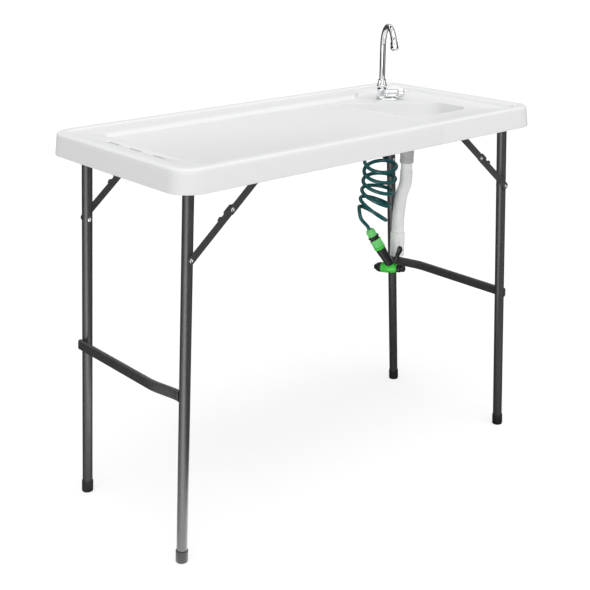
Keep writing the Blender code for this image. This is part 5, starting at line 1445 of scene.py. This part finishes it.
def addLever():
    # a section between an oval and a box, carried along a smooth line through the route
    plan = sprayPlan
    seat = plan["rearRadius"] + 0.0007
    # rearward and upward reach, width, and thickness to the handle's side and to the other
    route = [(*leverFoot(seat), 0.55, 0.5, 0.6), (*leverFoot(seat + 0.0028), 0.60, 1.0, 1.1),
             (*leverFoot(seat + 0.008), 0.60, 1.0, 1.6), (0.0275, 0.0235, 0.65, 1.0, 2.0),
             (0.0360, 0.0340, 0.80, 1.0, 2.2), (0.0480, 0.0455, 1.20, 1.0, 2.8),
             (0.0545, 0.0535, 1.05, 0.8, 1.8)]
    line = throughPoints([row[:3] for row in route], 8)
    inner, outer = throughPoints([(row[3], 2 * row[4], 0.0) for row in route], 8)[:, :2].T
    run = runOf(line[:, :2])
    around = circle(1.0, 28)
    across, through = (np.sign(around) * np.abs(around) ** plan["leverSquare"]).T
    place = np.arange(len(line))
    ends = np.clip(np.minimum(place, place[::-1]) / 3.0 + 0.45, 0.0, 1.0)
    half = plan["leverWidth"] / 2 * line[:, 2] * ends
    reach = np.where(through[None] < 0.0, inner[:, None], outer[:, None]) * through[None]
    depth = plan["leverThickness"] / 2 * reach * ends[:, None]
    a = line[:, :1] + run[:, 1:] * depth
    b = line[:, 1:2] - run[:, :1] * depth
    c = across[None] * half[:, None]
    rings = (gunPlan["origin"] + a[..., None] * gunBack + b[..., None] * gunUp + c[..., None] * gunAcross)
    piece("gunLever", "gun_trigger", "black", [ringSkin(rings)])


addGun()
addLever()
print("spray gun made")

# Studio: a pale floor, a white world and two soft suns. "bounce" is the floor's own tone, "ease" what it
# loses to the camera and "lift" its glow there; "rise" is the ray's height where panels give way to the roof
studioPlan = {"floor": 14.0, "bounce": 0.80, "ease": 0.44, "lift": 0.68, "world": 0.59, "rise": (0.16, 0.26)}
sunPlan = {"keyLight": {"towards": (0.16, 0.22, -1.0), "strength": 1.27, "spread": 40.0},
           "frontLight": {"towards": (0.25, 1.0, -0.45), "strength": 0.58, "spread": 60.0}}
# level seen in polished faces by heading, from 0 at -180 degrees to 1 at 180
studioPanels = [(0.000, 1.00), (0.020, 1.40), (0.060, 3.60), (0.110, 3.60), (0.140, 1.20), (0.165, 0.05),
                (0.270, 0.04), (0.300, 0.40), (0.390, 0.40), (0.430, 0.03), (0.600, 0.03), (0.650, 0.07),
                (0.930, 0.07), (0.965, 0.90), (1.000, 1.00)]
# level overhead by the height of the ray
studioRoof = [(0.00, 0.03), (0.50, 0.03), (0.54, 1.40), (0.66, 1.40), (0.70, 0.03), (0.84, 0.03),
              (0.88, 1.30), (0.95, 1.30), (0.98, 0.10), (1.00, 0.10)]
# a low bright field behind the table, by heading and by height, that the top picks up towards its front
studioField = [(0.00, 0.0), (0.53, 0.0), (0.57, 1.0), (0.68, 1.0), (0.72, 0.0), (1.00, 0.0)]
studioFieldRise = [(0.00, 0.0), (0.17, 0.0), (0.24, 0.5), (0.44, 0.5), (0.50, 0.0), (1.00, 0.0)]


def levelAlong(graph, value, stops):
    # a level that runs straight from stop to stop, as a curve from 0 to 1 times the highest level
    highest = max(level for place, level in stops)
    made = graph.add("ShaderNodeFloatCurve", {}, {"Value": value})
    mapping = made.socket.node.mapping
    line = mapping.curves[0]
    line.points[0].location = (0.0, stops[0][1] / highest)
    line.points[1].location = (1.0, stops[-1][1] / highest)
    for place, level in stops[1:-1]:
        line.points.new(place, level / highest)
    for point in line.points:
        point.handle_type = "VECTOR"
    mapping.update()
    return made * highest


def headingLevel(graph, x, y, stops):
    # a level by heading alone
    return levelAlong(graph, graph.steps(y.reckon("ARCTAN2", y, x), -math.pi, math.pi), stops)


def rayKinds(graph):
    # whether a ray is seen directly, also through something clear, and whether it is a reflection
    names = ("Is Camera Ray", "Is Transmission Ray", "Is Glossy Ray")
    direct, through, glossy = [graph.add("ShaderNodeLightPath", {}, {}, name) for name in names]
    return direct.reckon("MAXIMUM", direct, through), glossy


def addFloor():
    # a matte plane that glows a little to the camera and shows the panels to polished faces
    size = studioPlan["floor"]
    mesh = bpy.data.meshes.new("studioFloor")
    mesh.from_pydata([(x, y, 0.0) for x, y in boxCorners(size, size)], [], [(0, 1, 2, 3)])
    made = bpy.data.materials.new("studioFloor")
    made.use_nodes = True
    made.node_tree.nodes.clear()
    graph = Graph(made.node_tree)
    seen, glossy = rayKinds(graph)
    x, y = graph.axes()[:2]
    shade = studioPlan["bounce"] - seen * studioPlan["ease"]
    matte = graph.add("ShaderNodeBsdfDiffuse", {}, {"Color": shade})
    glow = graph.add("ShaderNodeEmission", {}, {"Strength": seen * studioPlan["lift"]})
    both = graph.add("ShaderNodeAddShader", {}, {0: matte, 1: glow})
    panels = graph.add("ShaderNodeEmission", {}, {"Strength": headingLevel(graph, x, y, studioPanels)})
    final = graph.add("ShaderNodeMixShader", {}, {0: glossy, 1: both, 2: panels})
    graph.add("ShaderNodeOutputMaterial", {}, {"Surface": final})
    mesh.materials.append(made)
    linkedObject("studioFloor", mesh)


def addWorld():
    # white to the camera; a plain level to matte surfaces; panels, roof and field to polished ones
    world = bpy.data.worlds.new("studio")
    bpy.context.scene.world = world
    world.use_nodes = True
    world.node_tree.nodes.clear()
    graph = Graph(world.node_tree)
    seen, glossy = rayKinds(graph)
    x, y, z = graph.axes("Generated")
    low, high = studioPlan["rise"]
    rise = graph.add("ShaderNodeMapRange", {"interpolation_type": "SMOOTHSTEP"},
                     {"Value": z, "From Min": low, "From Max": high})
    panels = headingLevel(graph, x, y, studioPanels)
    roof = graph.add("ShaderNodeMix", {}, {0: rise, 2: panels, 3: levelAlong(graph, z, studioRoof)})
    field = headingLevel(graph, x, y, studioField) * levelAlong(graph, z, studioFieldRise)
    polished, plain, white = [
        graph.add("ShaderNodeBackground", {}, {"Color": (1.0, 1.0, 1.0, 1.0), "Strength": strength})
        for strength in (field + roof, studioPlan["world"], 1.0)]
    first = graph.add("ShaderNodeMixShader", {}, {0: glossy, 1: plain, 2: polished})
    second = graph.add("ShaderNodeMixShader", {}, {0: seen, 1: first, 2: white})
    graph.add("ShaderNodeOutputWorld", {}, {"Surface": second})


def addSun(name, towards, strength, spread):
    # a soft sun that shines towards a direction; its spread is in degrees
    data = bpy.data.lights.new(name, "SUN")
    data.energy = strength
    data.angle = math.radians(spread)
    linkedObject(name, data).rotation_euler = Vector(towards).to_track_quat("-Z", "Y").to_euler()


addFloor()
addWorld()
for name, sun in sunPlan.items():
    addSun(name, **sun)
bpy.context.scene.view_settings.view_transform = "Standard"
print("studio lit")
